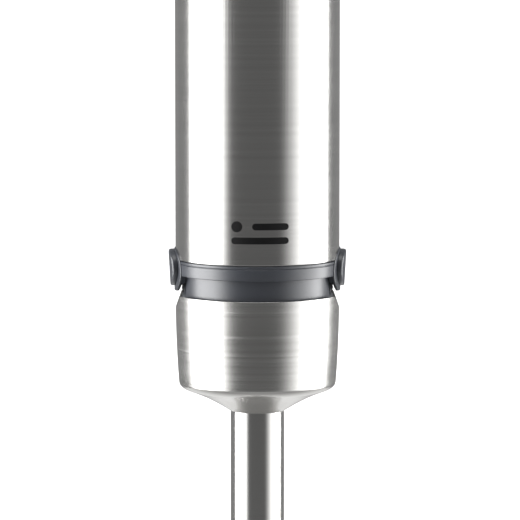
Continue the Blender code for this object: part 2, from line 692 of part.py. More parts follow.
def neck_spigot(unit):
    """Plastic neck that guides the foot and carries the latch arms in two slots."""
    seat = SPRING_SEAT_RADIUS
    seat_inner = seat - SPRING_SEAT_WALL
    outline = [
        (NECK_RADIUS, NECK_TOP), (NECK_RADIUS, 0.4 - NECK_DEPTH), (NECK_RADIUS - 0.4, -NECK_DEPTH),
        (NECK_INNER, -NECK_DEPTH), (NECK_INNER, 0), (NECK_BORE, 0), (NECK_BORE, NECK_FLOOR),
        (seat_inner, NECK_FLOOR), (seat_inner, SPRING_SEAT_TOP), (seat, SPRING_SEAT_TOP),
        (seat, NECK_FLOOR),
        (NECK_INNER, NECK_FLOOR), (NECK_INNER, NECK_TOP),
    ]
    neck = lathe("neck_spigot", outline, "grey_plastic", unit)
    low, high = -NECK_DEPTH - 1.0, RELEASE_LEVEL + RELEASE_HALF_HEIGHT + 0.6
    box = [(ARM_INNER - 0.5, low), (NECK_RADIUS + 1, low), (NECK_RADIUS + 1, high),
           (ARM_INNER - 0.5, high)]
    slots = [
        sector(f"neck_slot_cutter_{side}", box, middle, SLOT_HALF_ANGLE)
        for side, middle in (("left", math.pi), ("right", 0.0))
    ]
    combine(neck, "DIFFERENCE", *slots)


def release_pieces(unit):
    """Release buttons with their latch arms and springs, squeezed in."""
    top = RELEASE_LEVEL + RELEASE_HALF_HEIGHT
    bottom = RELEASE_LEVEL - RELEASE_HALF_HEIGHT
    arm = [
        (ARM_INNER, NOSE_BOTTOM), (ARM_OUTER - 0.4, NOSE_BOTTOM), (NOSE_OUTER, NOSE_TOP - 0.7),
        (NOSE_OUTER, NOSE_TOP), (ARM_OUTER, NOSE_TOP), (ARM_OUTER, WAIST_TOP),
        (NOSE_OUTER, WAIST_TOP + 0.2), (NOSE_OUTER, WAIST_TOP + 1.6),
        (ARM_OUTER, BOSS_BOTTOM - 0.4), (ARM_OUTER, top - 0.6), (ARM_INNER, top - 0.6),
    ]
    plate = [
        (ARM_OUTER - 0.5, BOSS_BOTTOM), (ARM_PLATE_OUTER, BOSS_BOTTOM),
        (ARM_PLATE_OUTER, -FIT_GAP), (ARM_OUTER - 0.5, -FIT_GAP),
    ]
    for side, sign, middle in (("left", -1, math.pi), ("right", 1, 0.0)):
        slide = empty(f"release_{side}_axis", (0, 0, RELEASE_LEVEL), unit)
        oval = ellipse(RELEASE_HALF_WIDTH, RELEASE_HALF_HEIGHT, 0)
        near, far = sorted((sign * (ARM_OUTER + FIT_GAP), sign * (BODY_RADIUS + 6)))
        button = prism(f"release_button_{side}", oval, near, far, "grey_plastic", slide, axis="X")
        face = [
            (0, bottom - 1 - RELEASE_LEVEL),
            (BODY_RADIUS + RELEASE_PROUD_BOTTOM, bottom - 1 - RELEASE_LEVEL),
            (BODY_RADIUS + RELEASE_PROUD_TOP, top + 1 - RELEASE_LEVEL),
            (0, top + 1 - RELEASE_LEVEL),
        ]
        combine(button, "INTERSECT", lathe(f"release_face_{side}", face))
        level = [(radius, height - RELEASE_LEVEL) for radius, height in arm]
        latch = sector(f"latch_arm_{side}", level, middle, ARM_HALF_ANGLE, "dark_plastic", slide)
        level = [(radius, height - RELEASE_LEVEL) for radius, height in plate]
        stiffener = sector(f"arm_plate_{side}", level, middle, ARM_HALF_ANGLE - math.radians(0.5),
                           parent=slide)
        around = ellipse(RELEASE_HALF_WIDTH + FIT_GAP, RELEASE_HALF_HEIGHT + FIT_GAP, 0)
        combine(stiffener, "DIFFERENCE",
                prism(f"arm_plate_cutter_{side}", around, -LONG_CUT, LONG_CUT, axis="X", parent=slide))
        combine(latch, "UNION", stiffener)
        height = NECK_FLOOR + RELEASE_SPRING_RADIUS + SPRING_WIRE + FIT_GAP
        ends = [sign * (SPRING_SEAT_RADIUS + 0.7), sign * (ARM_INNER - 0.7)]
        coil(f"release_spring_{side}", (ends[0], 0, height), (ends[1], 0, height),
             RELEASE_SPRING_RADIUS, SPRING_TURNS, unit)


def button_panel(unit):
    """Curved panel in the sleeve with two round holes."""
    outer = BODY_RADIUS + PANEL_PROUD
    inner = CHASSIS_INNER + 0.1
    high = PANEL_LEVEL + PANEL_HALF_HEIGHT + 1.0
    panel = tube("button_panel", outer, inner, 2 * PANEL_LEVEL - high, high, "dark_plastic", unit,
                 LARGE_STEPS)
    combine(panel, "INTERSECT",
            prism("panel_shape", panel_outline(0.0), -LONG_CUT, 0, axis="Y"))
    holes = []
    for number, level in enumerate(key_levels()):
        hole = ellipse(KEY_RADIUS + FIT_GAP, KEY_RADIUS + FIT_GAP, level, HOLE_STEPS)
        holes.append(prism(f"key_hole_{number}", hole, -LONG_CUT, 0, axis="Y"))
    combine(panel, "DIFFERENCE", *holes)


def key_levels():
    """Heights of the two keys: run below, boost above."""
    return PANEL_LEVEL - KEY_SPACING / 2, PANEL_LEVEL + KEY_SPACING / 2


def key_pieces(unit):
    """Keys with stems, their springs and the switches that they press."""
    face = BODY_RADIUS + KEY_PROUD
    flange = math.sqrt(CHASSIS_INNER**2 - (KEY_RADIUS + KEY_FLANGE + 0.1) ** 2) - FIT_GAP
    back = flange - KEY_FLANGE
    board = BOARD_DISTANCE + BOARD_THICKNESS / 2
    switch_face = board + FIT_GAP + SWITCH_DEPTH
    tip = switch_face + FIT_GAP
    profile = [
        (0, face), (KEY_RADIUS - 2.5, face - 0.15), (KEY_RADIUS - 0.6, face - 0.7),
        (KEY_RADIUS, face - 1.4), (KEY_RADIUS, flange), (KEY_RADIUS + KEY_FLANGE, flange),
        (KEY_RADIUS + KEY_FLANGE, back), (KEY_STEM_RADIUS, back),
        (KEY_STEM_RADIUS, tip + KEY_TIP_LENGTH), (KEY_TIP_RADIUS, tip + KEY_TIP_LENGTH),
        (KEY_TIP_RADIUS, tip), (0, tip),
    ]
    for name, level in zip(("run", "boost"), key_levels()):
        slide = empty(f"{name}_key_axis", (0, 0, level), unit)
        key = lathe(f"{name}_key", profile, "grey_plastic", slide, HOLE_STEPS)
        key.rotation_euler = (math.pi / 2, 0, 0)
        body = block(f"{name}_switch", (SWITCH_SIDE, SWITCH_DEPTH, SWITCH_SIDE),
                     (0, -(board + FIT_GAP + SWITCH_DEPTH / 2), level), "dark_plastic", unit)
        reach = KEY_TIP_RADIUS + 0.4
        hole = ellipse(reach, reach, level, SMALL_STEPS)
        pit = prism(f"{name}_switch_cutter", hole, -LONG_CUT, SWITCH_PIT - switch_face, axis="Y")
        combine(body, "DIFFERENCE", pit)
        gap = SPRING_WIRE + FIT_GAP
        coil(f"{name}_spring", (0, -(switch_face + gap), level), (0, -(back - gap), level),
             KEY_SPRING_RADIUS, SPRING_TURNS, unit)
    low, high = PANEL_LEVEL - BOARD_BELOW, PANEL_LEVEL + BOARD_ABOVE
    block("control_board", (2 * PANEL_HALF_WIDTH + 4, BOARD_THICKNESS, high - low),
          (0, -BOARD_DISTANCE, (low + high) / 2), "board_green", unit)


def chassis_shells(unit):
    """Two moulded half shells between the motor and the steel sleeve."""
    wall = [
        (CHASSIS_INNER, CHASSIS_BOTTOM), (CHASSIS_OUTER, CHASSIS_BOTTOM),
        (CHASSIS_OUTER, SLEEVE_TOP), (CHASSIS_INNER, SLEEVE_TOP),
    ]
    half = math.pi / 2 - FIT_GAP / (2 * CHASSIS_INNER)
    front = sector("chassis_front", wall, -math.pi / 2, half, "dark_plastic", unit, 24)
    sector("chassis_rear", wall, math.pi / 2, half, "dark_plastic", unit, 24)
    window = prism("chassis_panel_cutter", panel_outline(FIT_GAP), -LONG_CUT, 0, axis="Y")
    combine(front, "DIFFERENCE", window)


def top_cap(unit):
    """Moulded cap with air slots, a recess for the speed dial and a hole for the cord gland."""
    plug = CHASSIS_INNER - FIT_GAP
    low = CAP_BOTTOM - CAP_PLUG
    shoulder = CAP_TOP - (BODY_RADIUS - CAP_TOP_RADIUS)
    round_edge = [
        (CAP_TOP_RADIUS + (BODY_RADIUS - CAP_TOP_RADIUS) * math.cos(turn),
         shoulder + (CAP_TOP - shoulder) * math.sin(turn))
        for turn in (math.pi / 2 * step / 4 for step in range(5))
    ]
    outline = [(BODY_RADIUS, CAP_BOTTOM)] + round_edge + [
        (0, CAP_TOP), (0, CAP_CEILING), (plug - CHASSIS_WALL, CAP_CEILING),
        (plug - CHASSIS_WALL, low), (plug, low), (plug, CAP_BOTTOM),
    ]
    cap = lathe("top_cap", outline, "grey_plastic", unit)
    recess = round_cutter("dial_recess", DIAL_RADIUS + FIT_GAP, -DIAL_OFFSET,
                          CAP_TOP - DIAL_RECESS, CAP_TOP + 5, MEDIUM_STEPS)
    stem = round_cutter("dial_stem_hole", DRIVE_RADIUS + FIT_GAP, -DIAL_OFFSET,
                        CAP_CEILING - 5, CAP_TOP, SMALL_STEPS)
    gland = round_cutter("gland_hole", GLAND_RADIUS + FIT_GAP, GLAND_OFFSET,
                         CAP_CEILING - 5, CAP_TOP + 5, SMALL_STEPS)
    bm = bmesh.new()
    for number in range(AIR_SLOTS):
        turn = math.pi / 2 + (number - (AIR_SLOTS - 1) / 2) * AIR_SLOT_PITCH
        place = Matrix.Translation((BODY_RADIUS, 0, CAP_BOTTOM + AIR_SLOT_LEVEL))
        place = Matrix.Rotation(turn, 4, "Z") @ place @ Matrix.Diagonal((*AIR_SLOT_SIZE, 1.0))
        bmesh.ops.create_cube(bm, size=1, matrix=place)
    slots = to_object("air_slots", bm)
    combine(cap, "DIFFERENCE", recess, stem, gland, slots)


def round_cutter(name, radius, y, low, high, steps):
    """An upright cylinder at x = 0."""
    bm = bmesh.new()
    bmesh.ops.create_cone(
        bm, cap_ends=True, segments=steps, radius1=radius, radius2=radius, depth=high - low,
        matrix=Matrix.Translation((0, y, (low + high) / 2)),
    )
    return to_object(name, bm)


def cap_pieces(unit):
    """Speed dial, its shaft and potentiometer, and the cord gland."""
    spin = empty("speed_dial_axis", (0, -DIAL_OFFSET, 0), unit)
    floor = CAP_TOP - DIAL_RECESS + FIT_GAP
    high = floor + DIAL_HEIGHT
    hole = DRIVE_RADIUS + FIT_GAP
    ribs = toothed(DIAL_RIBS, DIAL_RADIUS, DIAL_RADIUS - 0.5, 0.5)
    dial = prism("speed_dial", ribs, floor, high - 1.2, "dark_plastic", spin)
    lid = [(0, high - 2.4), (DIAL_RADIUS - 0.7, high - 2.4), (DIAL_RADIUS - 0.7, high - 0.8),
           (DIAL_RADIUS - 1.5, high), (0, high)]
    combine(dial, "UNION", lathe("dial_lid", lid, steps=MEDIUM_STEPS, parent=spin))
    bore = [(0, floor - 1), (hole, floor - 1), (hole, high - 3.5), (0, high - 3.5)]
    combine(dial, "DIFFERENCE", lathe("dial_bore_cutter", bore, steps=SMALL_STEPS, parent=spin))
    mark = block("dial_mark_cutter", (1.4, 6.0, 1.2), (0, -(DIAL_RADIUS - 5.2), high), parent=spin)
    combine(dial, "DIFFERENCE", mark)
    sensor_top = CAP_BOTTOM - CAP_PLUG - 0.5
    shaft_low = sensor_top - SHAFT_BITE
    shaft = [(0, shaft_low), (DRIVE_RADIUS, shaft_low), (DRIVE_RADIUS, high - 3.8), (0, high - 3.8)]
    lathe("dial_shaft", shaft, "nylon", spin, SMALL_STEPS)
    seat = empty("sensor_axis", (0, -DIAL_OFFSET, 0), unit)
    under = sensor_top - SENSOR_HEIGHT
    body = [(0, under), (SENSOR_RADIUS, under), (SENSOR_RADIUS, sensor_top), (hole, sensor_top),
            (hole, shaft_low - FIT_GAP), (0, shaft_low - FIT_GAP)]
    lathe("speed_sensor", body, "bright_steel", seat, MEDIUM_STEPS)
    board = under - FIT_GAP
    disc = tube("sensor_board", CHASSIS_INNER - FIT_GAP, 2.0, board - BOARD_THICKNESS, board,
                "board_green", unit, MEDIUM_STEPS)
    passage = round_cutter("board_cord_cutter", CORD_PASSAGE, GLAND_OFFSET + 3, board - 9,
                           board + 9, SMALL_STEPS)
    combine(disc, "DIFFERENCE", passage)
    axis = empty("gland_axis", (0, GLAND_OFFSET, 0), unit)
    gland = [
        (CORD_BORE, CAP_CEILING - 3), (GLAND_RADIUS, CAP_CEILING - 3),
        (GLAND_RADIUS, CAP_TOP + FIT_GAP), (GLAND_RADIUS + GLAND_FLANGE, CAP_TOP + FIT_GAP),
        (GLAND_RADIUS + GLAND_FLANGE, CAP_TOP + 1.6),
        (GLAND_RADIUS + 0.5, CAP_TOP + 2.6), (CORD_BORE, CAP_TOP + 2.6),
    ]
    lathe("cord_gland", gland, "soft_rubber", axis, SMALL_STEPS)


def motor_bracket(name, unit, low, upwards):
    """Cast plate with a bearing hub on the side that faces upwards or downwards."""
    seat = BEARING_RADIUS + FIT_GAP
    hub = seat + HUB_WALL
    reach = BEARING_WIDTH + 2 * FIT_GAP + BRACKET_WALL
    lip = BRACKET_LIP
    outline = [
        (lip, 0), (BRACKET_RADIUS, 0), (BRACKET_RADIUS, BRACKET_WALL), (hub, BRACKET_WALL),
        (hub, reach), (seat, reach), (seat, BRACKET_WALL), (lip, BRACKET_WALL),
    ]
    flip = 1 if upwards else -1
    start = low if upwards else low + BRACKET_WALL
    profile = [(radius, start + flip * height) for radius, height in outline]
    bracket = lathe(name, profile, "cast_aluminium", unit)
    openings = []
    for number in range(BRACKET_OPENINGS):
        turn = 2 * math.pi * number / BRACKET_OPENINGS
        bm = bmesh.new()
        bmesh.ops.create_cone(
            bm, cap_ends=True, segments=SMALL_STEPS, radius1=OPENING_RADIUS,
            radius2=OPENING_RADIUS, depth=LONG_CUT / 4,
            matrix=Matrix.Rotation(turn, 4, "Z") @ Matrix.Translation((OPENING_CIRCLE, 0, low)),
        )
        openings.append(to_object(f"{name}_opening_{number}", bm))
    for number, (x, y) in enumerate(bolt_places()):
        bm = bmesh.new()
        bmesh.ops.create_cone(
            bm, cap_ends=True, segments=BOLT_STEPS, radius1=BOLT_RADIUS + FIT_GAP,
            radius2=BOLT_RADIUS + FIT_GAP, depth=LONG_CUT / 4,
            matrix=Matrix.Translation((x, y, low)),
        )
        openings.append(to_object(f"{name}_bolt_hole_{number}", bm))
    combine(bracket, "DIFFERENCE", *openings)


def bolt_places():
    """The two long bolts stand opposite each other, between the coils."""
    reach = BOLT_CIRCLE * math.sqrt(0.5)
    return (reach, reach), (-reach, -reach)


def motor_pieces(unit):
    """The parts of the motor that stand still."""
    motor_bracket("motor_bracket_lower", unit, BRACKET_LOW, True)
    motor_bracket("motor_bracket_upper", unit, BRACKET_HIGH, True)
    hole = SHAFT_RADIUS + FIT_GAP
    for name, low in (("bearing_lower", BRACKET_LOW), ("bearing_upper", BRACKET_HIGH)):
        start = low + BRACKET_WALL + FIT_GAP
        tube(name, BEARING_RADIUS, hole, start, start + BEARING_WIDTH, "bright_steel", unit,
             MEDIUM_STEPS)
    mount = BRACKET_LOW + BRACKET_WALL + FIT_GAP
    tube("rubber_mount", BRACKET_RADIUS, BRACKET_RADIUS - MOUNT_WALL, mount,
         mount + MOUNT_HEIGHT, "soft_rubber", unit)
    bore = ROTOR_RADIUS + ROTOR_GAP
    stack_top = STACK_LEVEL + STACK_HEIGHT
    core = tube("stator_core", STACK_RADIUS, bore, STACK_LEVEL, stack_top, "laminations", unit)
    slots = []
    for side, middle in (("left", math.pi), ("right", 0.0)):
        space = [(bore - 1, 0), (COIL_SLOT_RADIUS, 0), (COIL_SLOT_RADIUS, 2 * LONG_CUT),
                 (bore - 1, 2 * LONG_CUT)]
        slots.append(sector(f"coil_cutter_{side}", space, middle, COIL_SLOT_HALF_ANGLE, steps=10))
        low, high = STACK_LEVEL - COIL_OVERHANG, stack_top + COIL_OVERHANG
        near, far = bore + ROTOR_GAP, COIL_SLOT_RADIUS - FIT_GAP
        copper = [(near, low + 1), (near + 1, low), (far - 1, low), (far, low + 1),
                  (far, high - 1), (far - 1, high), (near + 1, high), (near, high - 1)]
        sector(f"field_coil_{side}", copper, middle, COIL_HALF_ANGLE, "copper", unit, 10)
    combine(core, "DIFFERENCE", *slots)
    brush_pieces(unit)
    head = BRACKET_HIGH + BRACKET_WALL + FIT_GAP
    for name, (x, y) in zip(("motor_bolt_rear", "motor_bolt_front"), bolt_places()):
        axis = empty(f"{name}_axis", (x, y, 0), unit)
        bolt = [(0, BRACKET_LOW + 0.2), (BOLT_RADIUS, BRACKET_LOW + 0.2), (BOLT_RADIUS, head),
                (BOLT_HEAD_RADIUS, head), (BOLT_HEAD_RADIUS, head + BOLT_HEAD),
                (0, head + BOLT_HEAD)]
        lathe(name, bolt, "bright_steel", axis, SMALL_STEPS)
    tube("motor_seal", NECK_BORE - FIT_GAP, SHAFT_RADIUS - 1 + FIT_GAP, 0.2, NECK_FLOOR,
         "soft_rubber", unit, SMALL_STEPS)


def brush_pieces(unit):
    """Carbon brushes in their holders, front and rear of the commutator."""
    level = COMMUTATOR_LEVEL + COMMUTATOR_HEIGHT / 2
    width = BRUSH_WIDTH + 2 * (FIT_GAP + HOLDER_WALL)
    low = level - BRUSH_HEIGHT / 2 - FIT_GAP - HOLDER_WALL
    high = BRACKET_HIGH - FIT_GAP
    length = HOLDER_END - HOLDER_START
    for side, sign in (("front", -1), ("rear", 1)):
        middle = sign * (HOLDER_START + HOLDER_END) / 2
        holder = block(f"brush_holder_{side}", (width, length, high - low),
                       (0, middle, (low + high) / 2), "nylon", unit)
        hollow = block(f"brush_holder_cutter_{side}",
                       (BRUSH_WIDTH + 2 * FIT_GAP, 2 * length, BRUSH_HEIGHT + 2 * FIT_GAP),
                       (0, middle, level))
        combine(holder, "DIFFERENCE", hollow)
        inner = COMMUTATOR_RADIUS + FIT_GAP
        block(f"carbon_brush_{side}", (BRUSH_WIDTH, BRUSH_LENGTH, BRUSH_HEIGHT),
              (0, sign * (inner + BRUSH_LENGTH / 2), level), "carbon", unit)


def bored(name, outline, low, high, finish, parent):
    """A toothed body with a hole for the motor shaft."""
    piece = prism(name, outline, low, high, finish, parent)
    hole = SHAFT_RADIUS + FIT_GAP
    tool = [(0, low - 1), (hole, low - 1), (hole, high + 1), (0, high + 1)]
    return combine(piece, "DIFFERENCE",
                   lathe(f"{name}_bore", tool, steps=SMALL_STEPS, parent=parent))


def rotor_pieces(rotor):
    """What turns in the motor: shaft, core, windings, commutator, fan and driver."""
    thin = SHAFT_RADIUS - 1.0
    top = BRACKET_HIGH + BRACKET_WALL + BEARING_WIDTH + 2.0
    low = DRIVER_TIP + 3.0
    shaft = [(0, low), (thin, low), (thin, BRACKET_LOW - 2), (SHAFT_RADIUS, BRACKET_LOW - 2),
             (SHAFT_RADIUS, top - 0.5), (SHAFT_RADIUS - 0.5, top), (0, top)]
    lathe("motor_shaft", shaft, "bright_steel", rotor, SMALL_STEPS)
    hole = SHAFT_RADIUS + FIT_GAP
    stack_top = STACK_LEVEL + STACK_HEIGHT
    slots = toothed(ROTOR_SLOTS, ROTOR_RADIUS, ROTOR_SLOT_RADIUS, 0.72)
    bored("armature_core", slots, STACK_LEVEL, stack_top, "laminations", rotor)
    for name, base in (
        ("armature_winding_lower", STACK_LEVEL - WINDING_HEIGHT - FIT_GAP),
        ("armature_winding_upper", stack_top + FIT_GAP),
    ):
        high = base + WINDING_HEIGHT
        coil_end = [(hole, base), (WINDING_NECK, base), (WINDING_SHOULDER, base + 1.2),
                    (WINDING_RADIUS, (base + high) / 2), (WINDING_SHOULDER, high - 1.2),
                    (WINDING_NECK, high), (hole, high)]
        lathe(name, coil_end, "copper", rotor, MEDIUM_STEPS)
    bars = toothed(COMMUTATOR_BARS, COMMUTATOR_RADIUS, COMMUTATOR_RADIUS - 0.5, 0.85)
    bored("commutator", bars, COMMUTATOR_LEVEL, COMMUTATOR_LEVEL + COMMUTATOR_HEIGHT, "copper",
          rotor)
    blades = toothed(FAN_BLADES, FAN_RADIUS, FAN_HUB, 0.07)
    fan = prism("cooling_fan", blades, FAN_LEVEL, FAN_LEVEL + FAN_HEIGHT, "dark_plastic", rotor)
    under = FAN_LEVEL - FAN_DISC
    disc = [(0, under), (FAN_RADIUS, under), (FAN_RADIUS, FAN_LEVEL + 0.4), (0, FAN_LEVEL + 0.4)]
    combine(fan, "UNION", lathe("fan_disc", disc, steps=LARGE_STEPS, parent=rotor))
    centre = [(0, FAN_LEVEL - 3), (hole, FAN_LEVEL - 3), (hole, FAN_LEVEL + 20), (0, FAN_LEVEL + 20)]
    combine(fan, "DIFFERENCE", lathe("fan_bore", centre, steps=SMALL_STEPS, parent=rotor))
    star = toothed(6, DRIVER_RADIUS, DRIVER_ROOT, 0.5)
    driver = prism("drive_coupler", star, DRIVER_TIP, DRIVER_SHOULDER + 1, "dark_plastic", rotor)
    flange = [(0, DRIVER_SHOULDER), (DRIVER_FLANGE_RADIUS, DRIVER_SHOULDER),
              (DRIVER_FLANGE_RADIUS, DRIVER_SHOULDER + DRIVER_FLANGE),
              (0, DRIVER_SHOULDER + DRIVER_FLANGE)]
    combine(driver, "UNION", lathe("driver_flange", flange, steps=MEDIUM_STEPS, parent=rotor))
    bore = [(0, low - FIT_GAP), (thin + FIT_GAP, low - FIT_GAP), (thin + FIT_GAP, 0), (0, 0)]
    combine(driver, "DIFFERENCE", lathe("driver_bore", bore, steps=SMALL_STEPS, parent=rotor))


def build():
    """The whole blender: foot, spindle, motor unit and rotor."""
    foot = empty("foot_axis", (0, 0, 0))
    spindle = empty("spindle_axis", (0, 0, 0), foot)
    unit = empty("motor_unit_base", (0, 0, MOTOR_BASE))
    rotor = empty("rotor_axis", (0, 0, 0), unit)
    foot_pieces(foot)
    blade_pieces(spindle)
    steel_sleeve(unit)
    release_collar(unit)
    neck_spigot(unit)
    release_pieces(unit)
    button_panel(unit)
    key_pieces(unit)
    chassis_shells(unit)
    top_cap(unit)
    cap_pieces(unit)
    motor_pieces(unit)
    rotor_pieces(rotor)


clear_scene()
MATERIALS = make_materials()
build()
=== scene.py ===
"""Finished looks of an upright stick blender with a squeeze-release steel foot.

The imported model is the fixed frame. Every sub-assembly below is a class that rebuilds its
visible pieces round that frame with fine surfaces, and one class dresses the hidden pieces.
Sizes are in millimetres and become metres where Blender is called. In an outline, each
corner is (radius, height, fillet).
"""

import logging
import math
from dataclasses import dataclass, field
from enum import Enum
from functools import lru_cache
from typing import Callable, Iterable, Sequence

import bpy
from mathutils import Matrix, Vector


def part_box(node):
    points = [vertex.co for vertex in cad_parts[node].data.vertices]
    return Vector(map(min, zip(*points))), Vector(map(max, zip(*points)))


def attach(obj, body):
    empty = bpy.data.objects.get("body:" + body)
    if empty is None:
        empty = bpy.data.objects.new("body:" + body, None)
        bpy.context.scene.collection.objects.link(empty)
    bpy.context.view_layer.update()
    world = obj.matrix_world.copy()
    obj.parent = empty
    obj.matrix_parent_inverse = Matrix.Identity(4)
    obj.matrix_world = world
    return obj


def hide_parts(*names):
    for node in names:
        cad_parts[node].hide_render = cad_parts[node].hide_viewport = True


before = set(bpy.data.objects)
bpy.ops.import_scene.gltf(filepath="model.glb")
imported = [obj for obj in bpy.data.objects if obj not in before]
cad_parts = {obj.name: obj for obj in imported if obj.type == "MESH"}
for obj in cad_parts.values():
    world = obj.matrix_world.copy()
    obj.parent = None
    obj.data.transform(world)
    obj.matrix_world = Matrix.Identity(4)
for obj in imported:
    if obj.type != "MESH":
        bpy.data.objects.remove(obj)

MM = 0.001
WELD = 0.000002  # points closer than this, in metres, become one
ROUND = 160  # points round a full-width turned piece
SMALL_ROUND = 64
OVAL = 128  # points round a pad or an oval hole
GAP = 0.3  # free space between neighbouring pieces
THROUGH = 200.0  # length of a cutter that goes right through
FRONT = -45.0  # Y of the middle of a cutter in the front wall
FRONT_DEPTH = 60.0

log = logging.getLogger("stick_blender")

Piece = bpy.types.Object
Socket = bpy.types.NodeSocket
Point = tuple[float, float, float]
Station = tuple[float, float]


class Axis(Enum):
    """Row axes that a piece can be laid along, with the turn that lays it there."""

    X = (0.0, math.pi / 2, 0.0)
    Y = (math.pi / 2, 0.0, 0.0)
    Z = (0.0, 0.0, 0.0)


class Close(Enum):
    """How the ends of a turned outline are closed."""

    LOOP = "the last ring joins the first"
    CAPS = "both ends get a flat face"


class Tool(Enum):
    """What a tool does to the piece that it is used on."""

    CUT = "DIFFERENCE"
    ADD = "UNION"
    KEEP = "INTERSECT"


class Side(Enum):
    """The two sides that carry a release button, with the sign of X there."""

    LEFT = -1
    RIGHT = 1

    @property
    def word(self) -> str:
        """The side's name as it is written in node names."""
        return self.name.lower()


# ---- edit-mode work -------------------------------------------------------------------
def deselect() -> None:
    """Leaves nothing selected."""
    if bpy.context.object and bpy.context.object.mode != "OBJECT":
        bpy.ops.object.mode_set(mode="OBJECT")
    bpy.ops.object.select_all(action="DESELECT")


def take(piece: Piece) -> None:
    """Selects one piece and makes it active.

    Args:
        piece: the piece.
    """
    deselect()
    piece.select_set(True)
    bpy.context.view_layer.objects.active = piece


def edit_all(piece: Piece) -> None:
    """Opens a piece in edit mode, selected all over.

    Args:
        piece: the piece.
    """
    take(piece)
    bpy.ops.object.mode_set(mode="EDIT")
    bpy.ops.mesh.select_all(action="SELECT")


def add(operator: Callable, **settings: object) -> Piece:
    """Adds a primitive, a lamp or a camera while nothing else is selected.

    Args:
        operator: the bpy.ops call that adds it.
        settings: the call's own settings.

    Returns:
        What was added.
    """
    deselect()
    operator(**settings)
    return bpy.context.object


def settle(piece: Piece, name: str) -> Piece:
    """Names a piece and moves its place and turn into its mesh.

    Args:
        piece: the piece, in object or edit mode.
        name: its name.

    Returns:
        The piece, with its object at the origin.
    """
    take(piece)
    bpy.ops.object.transform_apply(location=True, rotation=True, scale=True)
    piece.name = name
    piece.data.name = name
    return piece


def repair(piece: Piece) -> None:
    """Merges doubled points and turns every face outwards.

    Args:
        piece: the piece.
    """
    edit_all(piece)
    bpy.ops.mesh.remove_doubles(threshold=WELD)
    bpy.ops.mesh.normals_make_consistent(inside=False)
    bpy.ops.object.mode_set(mode="OBJECT")


def turned(
    name: str,
    stations: Sequence[Station],
    steps: int = ROUND,
    close: Close = Close.LOOP,
    centre: tuple[float, float] = (0.0, 0.0),
) -> Piece:
    """Draws a turned piece: one ring, extruded and scaled from station to station.

    Args:
        name: the piece's name.
        stations: (radius, height) of each ring.
        steps: points round the ring.
        close: how the outline's ends are closed.
        centre: x and y of the turning axis.

    Returns:
        The closed piece.
    """
    x, y = centre[0] * MM, centre[1] * MM
    radius, height = stations[0]
    piece = add(bpy.ops.mesh.primitive_circle_add, vertices=steps, radius=radius * MM,
                location=(x, y, height * MM))
    bpy.ops.object.mode_set(mode="EDIT")
    for (before, low), (after, high) in zip(stations, stations[1:]):
        bpy.ops.mesh.extrude_region_move(TRANSFORM_OT_translate={"value": (0.0, 0.0, (high - low) * MM)})
        growth = after / before
        bpy.ops.transform.resize(value=(growth, growth, 1.0), center_override=(x, y, high * MM))
    bpy.ops.mesh.select_all(action="DESELECT")
    bpy.ops.mesh.select_non_manifold()
    if close is Close.LOOP:
        bpy.ops.mesh.bridge_edge_loops()
    else:
        bpy.ops.mesh.select_all(action="SELECT")
        bpy.ops.mesh.fill_holes(sides=0)
    bpy.ops.mesh.select_all(action="SELECT")
    bpy.ops.mesh.normals_make_consistent(inside=False)
    return settle(piece, name)


def rounded(corners: Sequence[Point], arc_points: int = 4) -> list[Station]:
    """Rounds the corners of an outline with arcs.

    Args:
        corners: (radius, height, fillet) of each corner, going round the closed outline.
        arc_points: pieces in each arc.

    Returns:
        The stations of the rounded outline.
    """
    most = 0.45  # share of a side that one fillet may use
    stations: list[Station] = []
    count = len(corners)
    for index, (radius, height, fillet) in enumerate(corners):
        here = Vector((radius, height))
        if fillet <= 0:
            stations.append((radius, height))
            continue
        ahead = Vector(corners[(index + 1) % count][:2]) - here
        back = Vector(corners[index - 1][:2]) - here
        reach = min(fillet, most * ahead.length, most * back.length)
        start = here + back.normalized() * reach
        end = here + ahead.normalized() * reach
        for step in range(arc_points + 1):
            share = step / arc_points
            point = start.lerp(here, share).lerp(here.lerp(end, share), share)
            stations.append((point.x, point.y))
    return stations


def rod(name: str, size: Point, centre: Point, axis: Axis, steps: int = SMALL_ROUND) -> Piece:
    """Makes an elliptical rod, which is also the cutter of every oval or round hole.

    Args:
        name: the piece's name.
        size: its half width, half height and length. Width and height are the two row
            axes across it, in X, Y, Z order.
        centre: its middle.
        axis: the row axis along it.
        steps: points round it.

    Returns:
        The closed rod.
    """
    place = [value * MM for value in centre]
    piece = add(bpy.ops.mesh.primitive_cylinder_add, vertices=steps, radius=MM, depth=size[2] * MM,
                location=place, rotation=axis.value)
    edit_all(piece)
    wide, high = size[0], size[1]
    stretch = {Axis.X: (1.0, wide, high), Axis.Y: (wide, 1.0, high), Axis.Z: (wide, high, 1.0)}[axis]
    bpy.ops.transform.resize(value=stretch, center_override=place)
    return settle(piece, name)


def slab(name: str, size: Point, centre: Point, turn: float = 0.0) -> Piece:
    """Makes a block, mostly used as a cutter, turned about Z round the row's axis.

    Args:
        name: the block's name.
        size: its lengths along X, Y and Z.
        centre: its middle before it is turned.
        turn: angle in radians.

    Returns:
        The block.
    """
    x, y, z = centre
    spot = (x * math.cos(turn) - y * math.sin(turn), x * math.sin(turn) + y * math.cos(turn), z)
    piece = add(bpy.ops.mesh.primitive_cube_add, size=MM, location=[value * MM for value in spot],
                rotation=(0.0, 0.0, turn))
    piece.scale = size
    return settle(piece, name)


